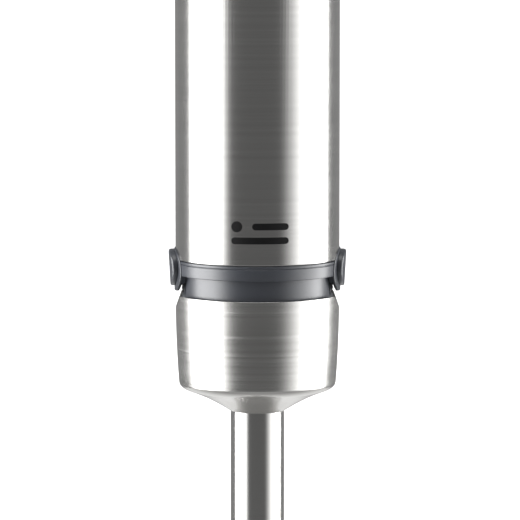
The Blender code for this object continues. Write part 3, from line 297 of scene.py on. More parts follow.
def round_ended(half: float, run: Station, depth: float, centre: Point, steps: int) -> Piece:
    """Makes a bar along Y whose cross section has two round ends.

    Args:
        half: radius of its ends.
        run: X and Z from its middle to the middle of one end, one of them 0.
        depth: its length along Y.
        centre: its middle.
        steps: points round each end.

    Returns:
        The bar.
    """
    x, y, z = centre
    core = slab("round_ended", (2 * (run[0] or half), depth, 2 * (run[1] or half)), centre)
    ends = [
        rod("round_end", (half, half, depth), (x + side * run[0], y, z + side * run[1]), Axis.Y, steps)
        for side in (-1, 1)
    ]
    return combine(core, ends, Tool.ADD)


def finish_modifier(piece: Piece, kind: str, **settings: object) -> None:
    """Adds a modifier and applies it.

    Args:
        piece: the piece.
        kind: the modifier's type.
        settings: the modifier's properties.
    """
    take(piece)
    modifier = piece.modifiers.new(kind.lower(), kind)
    for key, value in settings.items():
        setattr(modifier, key, value)
    bpy.ops.object.modifier_apply(modifier=modifier.name)


def combine(piece: Piece, tools: Iterable[Piece], work: Tool = Tool.CUT) -> Piece:
    """Cuts or joins a piece with tools, which are used up.

    Args:
        piece: the piece that stays.
        tools: closed meshes.
        work: what each tool does.

    Returns:
        The piece.
    """
    for tool in tools:
        finish_modifier(piece, "BOOLEAN", object=tool, operation=work.value, solver="EXACT")
        bpy.data.objects.remove(tool)
    return piece


def smooth(piece: Piece, angle: float = 30.0) -> Piece:
    """Shades a piece smooth.

    Args:
        piece: the piece.
        angle: edges over this many degrees stay crisp.

    Returns:
        The piece.
    """
    take(piece)
    bpy.ops.object.shade_smooth_by_angle(angle=math.radians(angle), keep_sharp_edges=False)
    return piece


def ease(piece: Piece, width: float, segments: int = 3, angle: float = 35.0) -> None:
    """Rounds a piece's edges that are crisper than an angle in degrees."""
    finish_modifier(piece, "BEVEL", width=width * MM, segments=segments, limit_method="ANGLE",
                    angle_limit=math.radians(angle), use_clamp_overlap=True)


def halved(piece: Piece, point: Vector, normal: Vector) -> None:
    """Cuts off what lies on one side of a plane, and closes the cut.

    Args:
        piece: the piece.
        point: a point of the plane.
        normal: points to the side that goes.
    """
    edit_all(piece)
    bpy.ops.mesh.bisect(plane_co=point * MM, plane_no=normal, use_fill=True, clear_outer=True,
                        clear_inner=False)
    bpy.ops.object.mode_set(mode="OBJECT")


def wedge(piece: Piece, half_angle: float, side: Side) -> Piece:
    """Keeps the part of a turned piece that lies on one side of the row's axis.

    Args:
        piece: a turned piece about the row's axis.
        half_angle: how far the part reaches round from the X axis, in radians.
        side: the side that stays.

    Returns:
        The piece.
    """
    sign = side.value
    origin = Vector((0.0, 0.0, 0.0))
    halved(piece, origin, Vector((-sign, 0.0, 0.0)))
    for edge in (1, -1):
        normal = Vector((-sign * math.sin(half_angle), edge * math.cos(half_angle), 0.0))
        halved(piece, origin, normal)
    return piece


def joined(pieces: Sequence[Piece], name: str) -> Piece:
    """Joins pieces into one object.

    Args:
        pieces: the pieces.
        name: the whole's name.

    Returns:
        The whole.
    """
    take(pieces[0])
    for piece in pieces:
        piece.select_set(True)
    bpy.ops.object.join()
    pieces[0].name = name
    return pieces[0]


# ---- finishes -------------------------------------------------------------------------
def linear(hex_colour: str) -> tuple[float, float, float, float]:
    """Turns an sRGB hex colour into linear RGBA.

    Args:
        hex_colour: such as "#5a6068".

    Returns:
        The colour with alpha 1.
    """
    parts = [int(hex_colour[start:start + 2], 16) / 255 for start in (1, 3, 5)]
    values = [p / 12.92 if p <= 0.04045 else ((p + 0.055) / 1.055) ** 2.4 for p in parts]
    return (values[0], values[1], values[2], 1.0)


def add_node(
    tree: bpy.types.NodeTree, kind: str, inputs: dict[str | int, object], **settings: object
) -> bpy.types.Node:
    """Adds a node with its settings and links.

    Args:
        tree: the node tree.
        kind: the node's type, without its ShaderNode prefix.
        inputs: socket name or number to a value or to another node's output.
        settings: properties of the node.

    Returns:
        The node.
    """
    made = tree.nodes.new("ShaderNode" + kind)
    for key, value in settings.items():
        setattr(made, key, value)
    for socket, value in inputs.items():
        if isinstance(value, Socket):
            tree.links.new(value, made.inputs[socket])
        else:
            made.inputs[socket].default_value = value
    return made


class Shader:
    """A material's node tree under construction."""

    LOW, HIGH = 0.3, 0.7  # the range that a noise's values mostly fall in

    def __init__(self, name: str) -> None:
        """Makes the material and keeps its Principled shader.

        Args:
            name: the material's name.
        """
        self.material = bpy.data.materials.new(name)
        self.material.use_nodes = True
        self.tree = self.material.node_tree
        self.surface = self.tree.nodes["Principled BSDF"]

    def place(self, scale: Point) -> Socket:
        """Object coordinates, scaled along each axis."""
        coordinates = add_node(self.tree, "TexCoord", {}).outputs["Object"]
        return add_node(self.tree, "Mapping", {"Vector": coordinates, "Scale": scale}).outputs["Vector"]

    def noise(self, scale: Point, detail: float) -> Socket:
        """A noise with this many cells to the metre along each axis."""
        inputs = {"Vector": self.place(scale), "Scale": 1.0, "Detail": detail}
        return add_node(self.tree, "TexNoise", inputs).outputs[0]

    def wave(self, scale: Point, distortion: float, direction: str) -> Socket:
        """Even bands across a direction, such as Z or DIAGONAL."""
        inputs = {"Vector": self.place(scale), "Scale": 1.0, "Distortion": distortion}
        return add_node(self.tree, "TexWave", inputs, bands_direction=direction).outputs[1]

    def feed(self, socket: str, value: Socket) -> None:
        """Links a value to one of the shader's sockets."""
        self.tree.links.new(value, self.surface.inputs[socket])

    def rough(self, value: Socket, low: float, high: float) -> None:
        """Lets the roughness follow a noise, from low to high."""
        self.feed("Roughness", add_node(self.tree, "MapRange", {
            "Value": value, "From Min": self.LOW, "From Max": self.HIGH, "To Min": low, "To Max": high,
        }).outputs["Result"])

    def tint(self, factor: Socket, first: str, second: str) -> None:
        """Blends the base colour between two hex colours.

        Args:
            factor: a noise or a wave.
            first: the colour where it is low.
            second: the colour where it is high.
        """
        ramp = add_node(self.tree, "ValToRGB", {"Fac": factor})
        for element, colour, position in zip(ramp.color_ramp.elements, (first, second),
                                             (self.LOW, self.HIGH)):
            element.color = linear(colour)
            element.position = position
        self.feed("Base Color", ramp.outputs["Color"])

    def relief(self, height: Socket, depth: float, strength: float) -> None:
        """Bumps the surface by a height in millimetres."""
        bump = add_node(self.tree, "Bump", {"Height": height, "Distance": depth * MM, "Strength": strength})
        self.feed("Normal", bump.outputs["Normal"])

    def steady(self, values: dict[str, object]) -> None:
        """Sets plain values on the shader's own sockets."""
        for name, value in values.items():
            self.surface.inputs[name].default_value = value


@dataclass(frozen=True)
class Surface:
    """What a real material looks like, under the name that its Blender material gets."""

    name: str

    def make(self) -> bpy.types.Material:
        """Builds the material.

        Returns:
            The material.
        """
        shader = Shader(self.name)
        self.paint(shader)
        return shader.material

    def paint(self, shader: Shader) -> None:
        """Draws the surface with nodes; each kind of surface has its own way."""
        raise NotImplementedError(self.name)


@dataclass(frozen=True)
class BrushedSteel(Surface):
    """Stainless steel AISI 304, brushed round its axis with a fine belt.

    The belt leaves grooves a few hundredths of a millimetre wide that run round the piece,
    so lights stay sharp sideways and smear upwards, with faint level streaks.
    """

    bright: str = "#cdccca"
    dull: str = "#c2c1bf"
    roughness: float = 0.17
    groove_mm: float = 0.3  # real grooves are 0.03 mm: drawn coarser so that they show
    streak_mm: float = 1.8
    depth_mm: float = 0.002
    uneven: float = 0.012
    anisotropy: float = 0.5

    def paint(self, shader: Shader) -> None:
        """Draws long grooves and streaks round the axis.

        Args:
            shader: the material under construction.
        """
        lines = shader.noise((10.0, 10.0, 1.0 / (self.groove_mm * MM)), 3.0)
        streaks = shader.noise((7.0, 7.0, 1.0 / (self.streak_mm * MM)), 3.0)
        both = add_node(shader.tree, "Math", {0: lines, 1: streaks}, operation="ADD").outputs[0]
        half = add_node(shader.tree, "Math", {0: both, 1: 0.5}, operation="MULTIPLY").outputs[0]
        shader.tint(half, self.dull, self.bright)
        shader.rough(half, self.roughness - self.uneven, self.roughness + self.uneven)
        shader.relief(lines, self.depth_mm, 0.3)
        shader.steady({"Metallic": 1.0, "Anisotropic": self.anisotropy})


@dataclass(frozen=True)
class MouldedPlastic(Surface):
    """Injection-moulded plastic with a fine spark-eroded grain.

    The grain breaks up the shine a little, and the colour stays even apart from slight
    clouding from the melt's flow.
    """

    main: str
    clouded: str
    roughness: float
    grain_mm: float = 0.22
    depth_mm: float = 0.012
    coat: float = 0.0
    level: float = 0.5

    def paint(self, shader: Shader) -> None:
        """Draws the grain and the clouding.

        Args:
            shader: the material under construction.
        """
        cell = 1.0 / (self.grain_mm * MM)
        grain = shader.noise((cell, cell, cell), 2.0)
        cloud = shader.noise((60.0, 60.0, 60.0), 2.0)
        shader.tint(cloud, self.main, self.clouded)
        shader.rough(grain, self.roughness - 0.03, self.roughness + 0.05)
        shader.relief(grain, self.depth_mm, 0.25)
        shader.steady({"IOR": 1.53, "Coat Weight": self.coat, "Specular IOR Level": self.level})


@dataclass(frozen=True)
class PlainMetal(Surface):
    """Ground, drawn, sintered or cast metal of a hidden piece.

    A speckle of the right grit shows how it was made: fine and even on ground steel, open
    on sintered bronze, and coarse on a casting.
    """

    light: str
    dark: str
    roughness: float
    grit_mm: float
    depth_mm: float

    def paint(self, shader: Shader) -> None:
        """Draws the grit.

        Args:
            shader: the material under construction.
        """
        cell = 1.0 / (self.grit_mm * MM)
        grit = shader.noise((cell, cell, cell), 3.0)
        shader.tint(grit, self.dark, self.light)
        shader.rough(grit, self.roughness - 0.05, self.roughness + 0.08)
        shader.relief(grit, self.depth_mm, 0.4)
        shader.steady({"Metallic": 1.0})


@dataclass(frozen=True)
class LayeredSteel(Surface):
    """Electrical steel punched from 0.5 mm sheet and stacked: fine level lines."""

    sheet_mm: float = 0.5

    def paint(self, shader: Shader) -> None:
        """Draws the edges of the sheets.

        Args:
            shader: the material under construction.
        """
        period = 1.0 / (self.sheet_mm * MM)
        sheets = shader.wave((0.0, 0.0, period / math.tau * 2), 0.4, "Z")
        shader.tint(sheets, "#3b3c40", "#77797d")
        shader.relief(sheets, 0.05, 0.6)
        shader.steady({"Metallic": 1.0, "Roughness": 0.5})


@dataclass(frozen=True)
class Windings(Surface):
    """Enamelled copper wire laid side by side, 0.6 mm from turn to turn."""

    wire_mm: float = 0.6

    def paint(self, shader: Shader) -> None:
        """Draws the turns of wire.

        Args:
            shader: the material under construction.
        """
        period = 1.0 / (self.wire_mm * MM)
        turns = shader.wave((period / 3, period / 3, period / 3), 1.5, "DIAGONAL")
        shader.tint(turns, "#6a2f14", "#c7743f")
        shader.relief(turns, 0.15, 0.7)
        shader.steady({"Metallic": 1.0, "Roughness": 0.36})


@dataclass(frozen=True)
class Rubber(Surface):
    """Moulded silicone or neoprene: matt, with a dusty sheen on its edges."""

    main: str = "#222325"
    clouded: str = "#2b2c2e"

    def paint(self, shader: Shader) -> None:
        """Draws the skin, whose grain is a quarter of a millimetre.

        Args:
            shader: the material under construction.
        """
        skin = shader.noise((4000.0, 4000.0, 4000.0), 2.0)
        shader.tint(skin, self.main, self.clouded)
        shader.relief(skin, 0.02, 0.3)
        shader.steady({"Roughness": 0.72, "Sheen Weight": 0.15})


class Finish(Enum):
    """The finishes of the whole blender, each named for what it really is."""

    SLEEVE_STEEL = BrushedSteel("brushed_304_sleeve")
    CUP_STEEL = BrushedSteel("brushed_304_cup", roughness=0.25, dull="#bdbcb9", depth_mm=0.004, uneven=0.03)
    TUBE_STEEL = BrushedSteel("polished_304_tube", roughness=0.18, depth_mm=0.0005, dull="#c9c8c6",
                              uneven=0.006, anisotropy=0.2)
    SLATE_ABS = MouldedPlastic("slate_grey_abs", "#34373d", "#373a41", 0.32, level=0.85)
    DARK_ABS = MouldedPlastic("charcoal_abs", "#25272b", "#292b2f", 0.42)
    BLACK_NYLON = MouldedPlastic("black_glass_filled_nylon", "#34373c", "#3a3d42", 0.5, grain_mm=0.3)
    PRINT_INK = MouldedPlastic("black_pad_print", "#0b0b0c", "#0e0e0f", 0.5, depth_mm=0.002, level=0.2)
    RUBBER = Rubber("silicone_rubber")
    GROUND_STEEL = PlainMetal("ground_bearing_steel", "#c4c5c7", "#b0b1b3", 0.25, 0.4, 0.004)
    COPPER_WIRE = Windings("enamelled_copper_wire")
    COPPER_BAR = PlainMetal("commutator_copper", "#c58058", "#b06c46", 0.3, 0.6, 0.005)
    LAMINATIONS = LayeredSteel("stacked_electrical_steel")
    BRONZE = PlainMetal("sintered_bronze", "#b08a56", "#8d6c40", 0.42, 0.25, 0.02)
    CARBON = MouldedPlastic("pressed_carbon", "#1b1b1c", "#232324", 0.6, grain_mm=0.4)
    BOARD = MouldedPlastic("solder_masked_fr4", "#12502f", "#17603a", 0.3, grain_mm=1.2, coat=0.3)
    CASTING = PlainMetal("die_cast_aluminium", "#a9abae", "#909296", 0.45, 0.9, 0.03)
    NYLON = MouldedPlastic("natural_nylon", "#d5d0c2", "#dbd6c9", 0.38)
    WHITE_MARK = MouldedPlastic("white_pad_print", "#d9dadc", "#e2e3e4", 0.5, depth_mm=0.002)


@lru_cache(maxsize=None)
def material_of(finish: Finish) -> bpy.types.Material:
    """Builds a finish's material the first time it is asked for."""
    return finish.value.make()


def dress(piece: Piece, finish: Finish) -> None:
    """Gives a piece its one material."""
    piece.data.materials.clear()
    piece.data.materials.append(material_of(finish))


def hand_over(piece: Piece, finish: Finish, body: str, slot: str, *nodes: str) -> None:
    """Dresses a finished piece and hooks it to the frame.

    Args:
        piece: the finished piece.
        finish: its finish.
        body: the CAD body that it moves with.
        slot: the name of a material slot; not used.
        nodes: CAD nodes that it stands for.
    """
    dress(piece, finish)
    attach(piece, body)
    if nodes:
        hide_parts(*nodes)
    log.info("%s rides on %s, %d faces", piece.name, body, len(piece.data.polygons))


# ---- places in the frame --------------------------------------------------------------
def span(node: str) -> tuple[Vector, Vector]:
    """Lowest and highest corner of a CAD node, in millimetres."""
    low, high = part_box(node)
    return low / MM, high / MM


def low_of(node: str) -> Vector:
    """Lowest corner of a CAD node."""
    return span(node)[0]


def high_of(node: str) -> Vector:
    """Highest corner of a CAD node."""
    return span(node)[1]


def middle_of(node: str) -> Vector:
    """Middle of a CAD node."""
    low, high = span(node)
    return (low + high) / 2


def level_of(node: str) -> float:
    """Level of a CAD node's middle."""
    low, high = span(node)
    return (low.z + high.z) / 2


def collar_level() -> float:
    """Level of the collar's underside, which the collar's and the latch's sizes count from."""
    return low_of("steel_sleeve").z - GAP - Collar.height


# ---- the motor unit's outside ---------------------------------------------------------
def pad(
    name: str, half: Station, level: float, radius: float, depth: float, side: Side, rim: float
) -> Piece:
    """Makes an oval pad that follows the body's curve.

    Args:
        name: the pad's name.
        half: its half width along Y and half height.
        level: level of its middle.
        radius: its outer face's distance from the row's axis.
        depth: its thickness.
        side: the side that it is on.
        rim: rounding of its rim.

    Returns:
        The pad.
    """
    spot = (side.value * radius * MM, 0.0, level * MM)
    piece = add(bpy.ops.mesh.primitive_circle_add, vertices=OVAL, radius=MM, location=spot,
                rotation=(0.0, side.value * math.pi / 2, 0.0), fill_type="NGON")
    piece.scale = (half[1], radius * math.tan(math.asin(half[0] / radius)), 1.0)
    settle(piece, name)
    edit_all(piece)
    shares = (1.0, 0.82, 0.66, 0.5, 0.34, 0.18, 0.05)
    for before, after in zip(shares, shares[1:]):
        bpy.ops.mesh.inset(thickness=0.0)
        shrink = after / before
        bpy.ops.transform.resize(value=(1.0, shrink, shrink), center_override=spot)
    bpy.ops.object.mode_set(mode="OBJECT")
    finish_modifier(piece, "CAST", cast_type="CYLINDER", factor=1.0, use_z=False,
                    use_radius_as_size=False, size=radius * MM)
    finish_modifier(piece, "SOLIDIFY", thickness=depth * MM, offset=-1.0)
    ease(piece, rim, 4, 50.0)
    return smooth(piece, 50.0)


def panel_cutter(grow: float) -> Piece:
    """Makes a round-ended cutter through the front, in the shape of the key panel.

    Args:
        grow: how much larger than the panel it is all round.

    Returns:
        The cutter.
    """
    low, high = span("button_panel")
    straight = (high.z - low.z) / 2 - high.x
    centre = (0.0, FRONT, level_of("button_panel"))
    return round_ended(high.x + grow, (0.0, straight), FRONT_DEPTH, centre, 96)


@dataclass
class MotorSleeve:
    """Brushed steel body tube with its printed mark."""

    wall: float = 0.8
    lip: float = 0.3
    inner_lip: float = 0.2
    mark_level: float = 12.6  # above the sleeve's lower edge
    mark_bars: tuple[tuple[float, ...], ...] = (  # width, height, and X and Z from the mark's middle
        (22.0, 2.6, 1.0, -2.9), (14.0, 2.6, 5.0, 2.5), (4.2, 4.2, -7.9, 2.5),
    )
    ink: float = 0.03
    ink_root: float = 0.1  # how far the film reaches into the steel

    def build(self) -> None:
        """Makes the tube with its oval side cuts and the window of the key panel."""
        low, high = span("steel_sleeve")
        inner = high.y - self.wall
        sleeve = turned("steel_sleeve_skin", rounded([
            (inner, low.z, self.inner_lip), (high.y, low.z, self.lip), (high.y, high.z, self.lip),
            (inner, high.z, self.inner_lip),
        ]))
        boss_cutter = rod(
            "boss_cutter", (Collar.boss_half_width + GAP, Collar.boss_half_height + GAP, THROUGH),
            (0.0, 0.0, collar_level() + Collar.boss_level), Axis.X, 96,
        )
        combine(sleeve, [boss_cutter, panel_cutter(GAP)])
        smooth(sleeve)
        hand_over(sleeve, Finish.SLEEVE_STEEL, "motor_unit", "brushed_steel", "steel_sleeve")
        self.print_mark(high.y, low.z + self.mark_level)

    def print_mark(self, radius: float, level: float) -> None:
        """Prints a plain mark on the front: a long bar, a short bar and a dot.

        Args:
            radius: the sleeve's radius.
            level: level of the mark's middle.
        """
        parts = [
            self.printed_bar(radius, width, height, x, level + z) for width, height, x, z in self.mark_bars
        ]
        mark = joined(parts, "printed_mark")
        hand_over(mark, Finish.PRINT_INK, "motor_unit", "dark_plastic")

    def printed_bar(self, radius: float, width: float, height: float, x: float, z: float) -> Piece:
        """Makes a round-ended bar of ink that lies on the sleeve's curve.

        Args:
            radius: the sleeve's radius.
            width: the bar's whole width.
            height: its height.
            x: its middle.
            z: its level.

        Returns:
            The bar.
        """
        root, face = radius - self.ink_root, radius + self.ink
        film = turned("ink", [(root, z - height), (face, z - height), (face, z + height),
                              (root, z + height)], 2 * ROUND)
        straight = max(0.02, width - height)
        bar = round_ended(height / 2, (straight / 2, 0.0), 8.0, (x, -radius, z), 32)
        return smooth(combine(film, [bar], Tool.KEEP))


@dataclass
class Collar:
    """Slate collar ring with its two oval bosses, and the bare neck under it."""

    height: float = 5.7
    boss_half_width: float = 12.9
    boss_half_height: float = 8.8
    boss_level: float = 1.5
    boss_floor: float = -6.2
    boss_rim: float = 0.35
    groove_drop: float = 1.2
    groove: float = 0.28
    sleeve_seat: float = 1.1  # the sleeve's wall and the gap inside it
    hole_half_width: float = 10.4
    hole_half_height: float = 7.5
    hole_level: float = 2.3
    plate_travel: float = 1.4
    plate_half_angle: float = math.radians(20.5)
    neck_wall: float = 2.4
    floor: float = 2.0
    floor_hole: float = 8.0
    slot_half_width: float = 10.4
    slot_top: float = 7.8  # above the middle of the button's hole

    def build(self) -> None:
        """Makes the collar and the neck."""
        self.build_collar(collar_level())
        self.build_neck(collar_level())

    def build_collar(self, base: float) -> None:
        """Makes the ring, with a fine groove under its top lip, and both bosses.

        Args:
            base: level of the collar's underside.
        """
        groove, crown, proud = self.groove, high_of("release_collar").z, high_of("release_collar").x
        outer = high_of("steel_sleeve").y
        inner = high_of("neck_spigot").y + GAP
        top = base + self.height
        lip = top - self.groove_drop
        seat = outer - self.sleeve_seat
        ring = turned("release_collar_skin", rounded([
            (inner, base, 0.15), (outer, base, 0.5), (outer, lip - groove, 0.12),
            (outer - groove, lip, 0.08), (outer, lip + groove, 0.12), (outer, top, 0.35),
            (seat, top, 0.0), (seat, crown, 0.2), (inner, crown, 0.2),
        ], 3))
        combine(ring, [self.hole_cutter(base), self.plate_space(base, Side.RIGHT),
                       self.plate_space(base, Side.LEFT)])
        smooth(ring)
        hand_over(ring, Finish.SLATE_ABS, "motor_unit", "grey_plastic", "release_collar")
        for side in Side:
            boss = pad(f"release_boss_{side.word}", (self.boss_half_width, self.boss_half_height),
                       base + self.boss_level, proud, proud - inner, side, self.boss_rim)
            combine(boss, [self.hole_cutter(base), self.plate_space(base, side)])
            halved(boss, Vector((0.0, 0.0, base + self.boss_floor)), Vector((0.0, 0.0, -1.0)))
            smooth(boss)
            hand_over(boss, Finish.SLATE_ABS, "motor_unit", "grey_plastic", "release_collar")

    def hole_cutter(self, base: float) -> Piece:
        """Oval cutter of both button holes; base is the level of the collar's underside."""
        return rod("button_hole", (self.hole_half_width, self.hole_half_height, THROUGH),
                   (0.0, 0.0, base + self.hole_level), Axis.X, OVAL)

    def plate_space(self, base: float, side: Side) -> Piece:
        """Cutter of the space behind a boss that the latch arm's plate moves in.

        Args:
            base: level of the collar's underside.
            side: the boss's side.

        Returns:
            The cutter.
        """
        inner = high_of("neck_spigot").y - 1.0
        outer = high_of("latch_arm_right").x + self.plate_travel + GAP
        low = base + self.boss_floor - 1.0
        space = turned("plate_space", [(inner, low), (outer, low), (outer, base), (inner, base)])
        return wedge(space, self.plate_half_angle, side)

    def build_neck(self, base: float) -> None:
        """Makes the neck with its two latch slots, floor and spring seat.

        Args:
            base: level of the collar's underside.
        """
        low, high = span("neck_spigot")
        outer, inner = high.y, high.y - self.neck_wall
        floor_top = base + self.floor
        neck = turned("neck_spigot_skin", rounded([
            (outer, high.z, 0.3), (outer, low.z, 0.6), (inner, low.z, 0.4), (inner, base, 0.5),
            (self.floor_hole, base, 0.3), (self.floor_hole, floor_top, 0.0), (inner, floor_top, 0.0),
            (inner, high.z, 0.3),
        ], 3))
        top = base + self.hole_level + self.slot_top
        combine(neck, [
            slab("neck_slot", (8.0, 2 * self.slot_half_width, top - low.z + 2.0),
                 (side.value * (outer + 0.8), 0.0, (top + low.z - 2.0) / 2))
            for side in Side
        ])
        smooth(neck)
        hand_over(neck, Finish.SLATE_ABS, "motor_unit", "grey_plastic", "neck_spigot")


@dataclass
class Release:
    """One release button with its latch arm."""

    side: Side
    half_width: float = 10.1
    half_height: float = 7.2
    lean: float = 0.8
    rim: float = 0.9
    arm_half_angle: float = math.radians(18.5)
    nose_gap: float = 0.2
    hook: float = 1.2  # how far the noses stand out of the arm
    arm_wall: float = 1.8

    def build(self) -> None:
        """Makes the button and the arm."""
        self.build_button(f"release_button_{self.side.word}")
        self.build_arm(f"latch_arm_{self.side.word}")

    def build_button(self, node: str) -> None:
        """Makes the oval cap, whose outer face leans out towards its top.

        Args:
            node: the button's CAD node.
        """
        low, high = span(node)
        level = level_of(node)
        inner, reach = sorted((abs(low.x), abs(high.x)))
        middle = reach - self.lean / 2
        button = pad(f"{node}_skin", (self.half_width, self.half_height), level, middle,
                     middle - inner - 0.4, self.side, self.rim)
        edit_all(button)
        bpy.ops.transform.rotate(
            value=-self.side.value * math.atan(self.lean / (high.z - low.z)), orient_axis="Y",
            center_override=(self.side.value * middle * MM, 0.0, level * MM),
        )
        bpy.ops.object.mode_set(mode="OBJECT")
        hand_over(button, Finish.SLATE_ABS, f"release_{self.side.word}", "grey_plastic", node)

    def build_arm(self, node: str) -> None:
        """Makes the hooked arm behind the button, cut from a turned ring, with its plate.

        Args:
            node: the arm's CAD node.
        """
        low, high = low_of(node).z, high_of(node).z
        base = collar_level()
        nose = high_of("neck_spigot").y - self.nose_gap
        shank = nose - self.hook
        inner = shank - self.arm_wall
        arm = turned(f"{node}_skin", rounded([
            (inner, low, 0.2), (shank - 0.4, low, 0.3), (nose, low + 1.1, 0.3), (nose, low + 1.8, 0.2),
            (shank, low + 1.8, 0.2), (shank, base - 10.0, 0.3), (nose, base - 9.8, 0.3),
            (nose, base - 8.2, 0.4), (shank, base - 6.6, 0.6), (shank, high, 0.4), (inner, high, 0.3),
        ], 3))
        wedge(arm, self.arm_half_angle, self.side)
        repair(arm)
        combine(arm, [self.carrier_plate(shank, base)], Tool.ADD)
        ease(arm, 0.25, 2, 50.0)
        smooth(arm, 40.0)
        hand_over(arm, Finish.BLACK_NYLON, f"release_{self.side.word}", "dark_plastic", node)

    def carrier_plate(self, shank: float, base: float) -> Piece:
        """Makes the plate on the arm's face, under and beside the button.

        Args:
            shank: radius of the arm's outer face.
            base: level of the collar's underside.

        Returns:
            The plate.
        """
        outer = high_of("latch_arm_right").x
        root, low, high = shank - 0.5, base + Collar.boss_floor, base - GAP
        plate = turned("carrier_plate", rounded([
            (root, low, 0.0), (outer, low, 0.3), (outer, high, 0.2), (root, high, 0.0),
        ]))
        wedge(plate, self.arm_half_angle - math.radians(0.5), self.side)
        repair(plate)
        return combine(plate, [
            rod("plate_cutter", (self.half_width + GAP, self.half_height + GAP, THROUGH),
                (0.0, 0.0, base + Collar.hole_level), Axis.X, OVAL),
        ])


@dataclass
class KeyPanel:
    """Curved panel with the run key and the boost key."""

    depth: float = 3.2
    spare: float = 3.0  # length that the panel's outline takes off again
    hole: float = 7.8
    stem: float = 1.2
    sleeve: float = 2.0
    flange: float = 8.7
    flange_rise: float = 5.7  # from the key's back to the flange's face
    flange_depth: float = 1.2
    skirt: float = 7.5
    face: tuple[Station, ...] = (  # radius and depth of the rounded rim and the dish
        (7.5, 1.3), (7.35, 0.7), (6.9, 0.25), (6.3, 0.02), (5.6, 0.1), (4.4, 0.42), (2.6, 0.62), (0.02, 0.7),
    )
    dot: float = 0.7
    dot_pitch: float = 3.0
    dot_depth: float = 0.62

    def build(self) -> None:
        """Makes the panel and both keys."""
        low, high = span("button_panel")
        outer, back = -low.y, -low.y - self.depth
        bottom, top = low.z - self.spare, high.z + self.spare
        panel = turned("button_panel_skin", [(back, bottom), (outer, bottom), (outer, top), (back, top)])
        combine(panel, [panel_cutter(0.0)], Tool.KEEP)
        combine(panel, [
            rod("key_hole", (self.hole, self.hole, FRONT_DEPTH), (0.0, FRONT, level_of(node)), Axis.Y, 96)
            for node in ("run_key", "boost_key")
        ])
        ease(panel, 0.3, 3, 40.0)
        smooth(panel)
        hand_over(panel, Finish.DARK_ABS, "motor_unit", "dark_plastic", "button_panel")
        self.build_key("run_key", 1)
        self.build_key("boost_key", 2)

    def build_key(self, node: str, dots: int) -> None:
        """Makes a round key with a shallow dish, a rim and raised dots to tell it by touch.

        Args:
            node: the key's CAD node, which is also its body.
            dots: raised dots on its face.
        """
        level = level_of(node)
        face, back = -low_of(node).y, -high_of(node).y
        flange = back + self.flange_rise
        under = flange - self.flange_depth
        outline = [
            (0.02, back), (self.stem, back), (self.stem, back + 1.6), (self.sleeve, back + 1.6),
            (self.sleeve, under), (self.flange, under), (self.flange, flange), (self.skirt, flange),
        ]
        outline += [(radius, face - depth) for radius, depth in self.face]
        key = turned(f"{node}_skin", outline, 96, Close.CAPS)
        key.rotation_euler = Axis.Y.value
        key.location = (0.0, 0.0, level * MM)
        settle(key, f"{node}_skin")
        smooth(key, 50.0)
        hand_over(key, Finish.SLATE_ABS, node, "grey_plastic", node)
        marks = []
        for index in range(dots):
            x = (index - (dots - 1) / 2) * self.dot_pitch
            mark = add(bpy.ops.mesh.primitive_uv_sphere_add, segments=24, ring_count=12,
                       radius=self.dot * MM,
                       location=(x * MM, -(face - self.dot_depth) * MM, level * MM))
            marks.append(settle(mark, "dot"))
        tell = smooth(joined(marks, f"{node}_dots"), 60.0)
        hand_over(tell, Finish.WHITE_MARK, node, "grey_plastic")


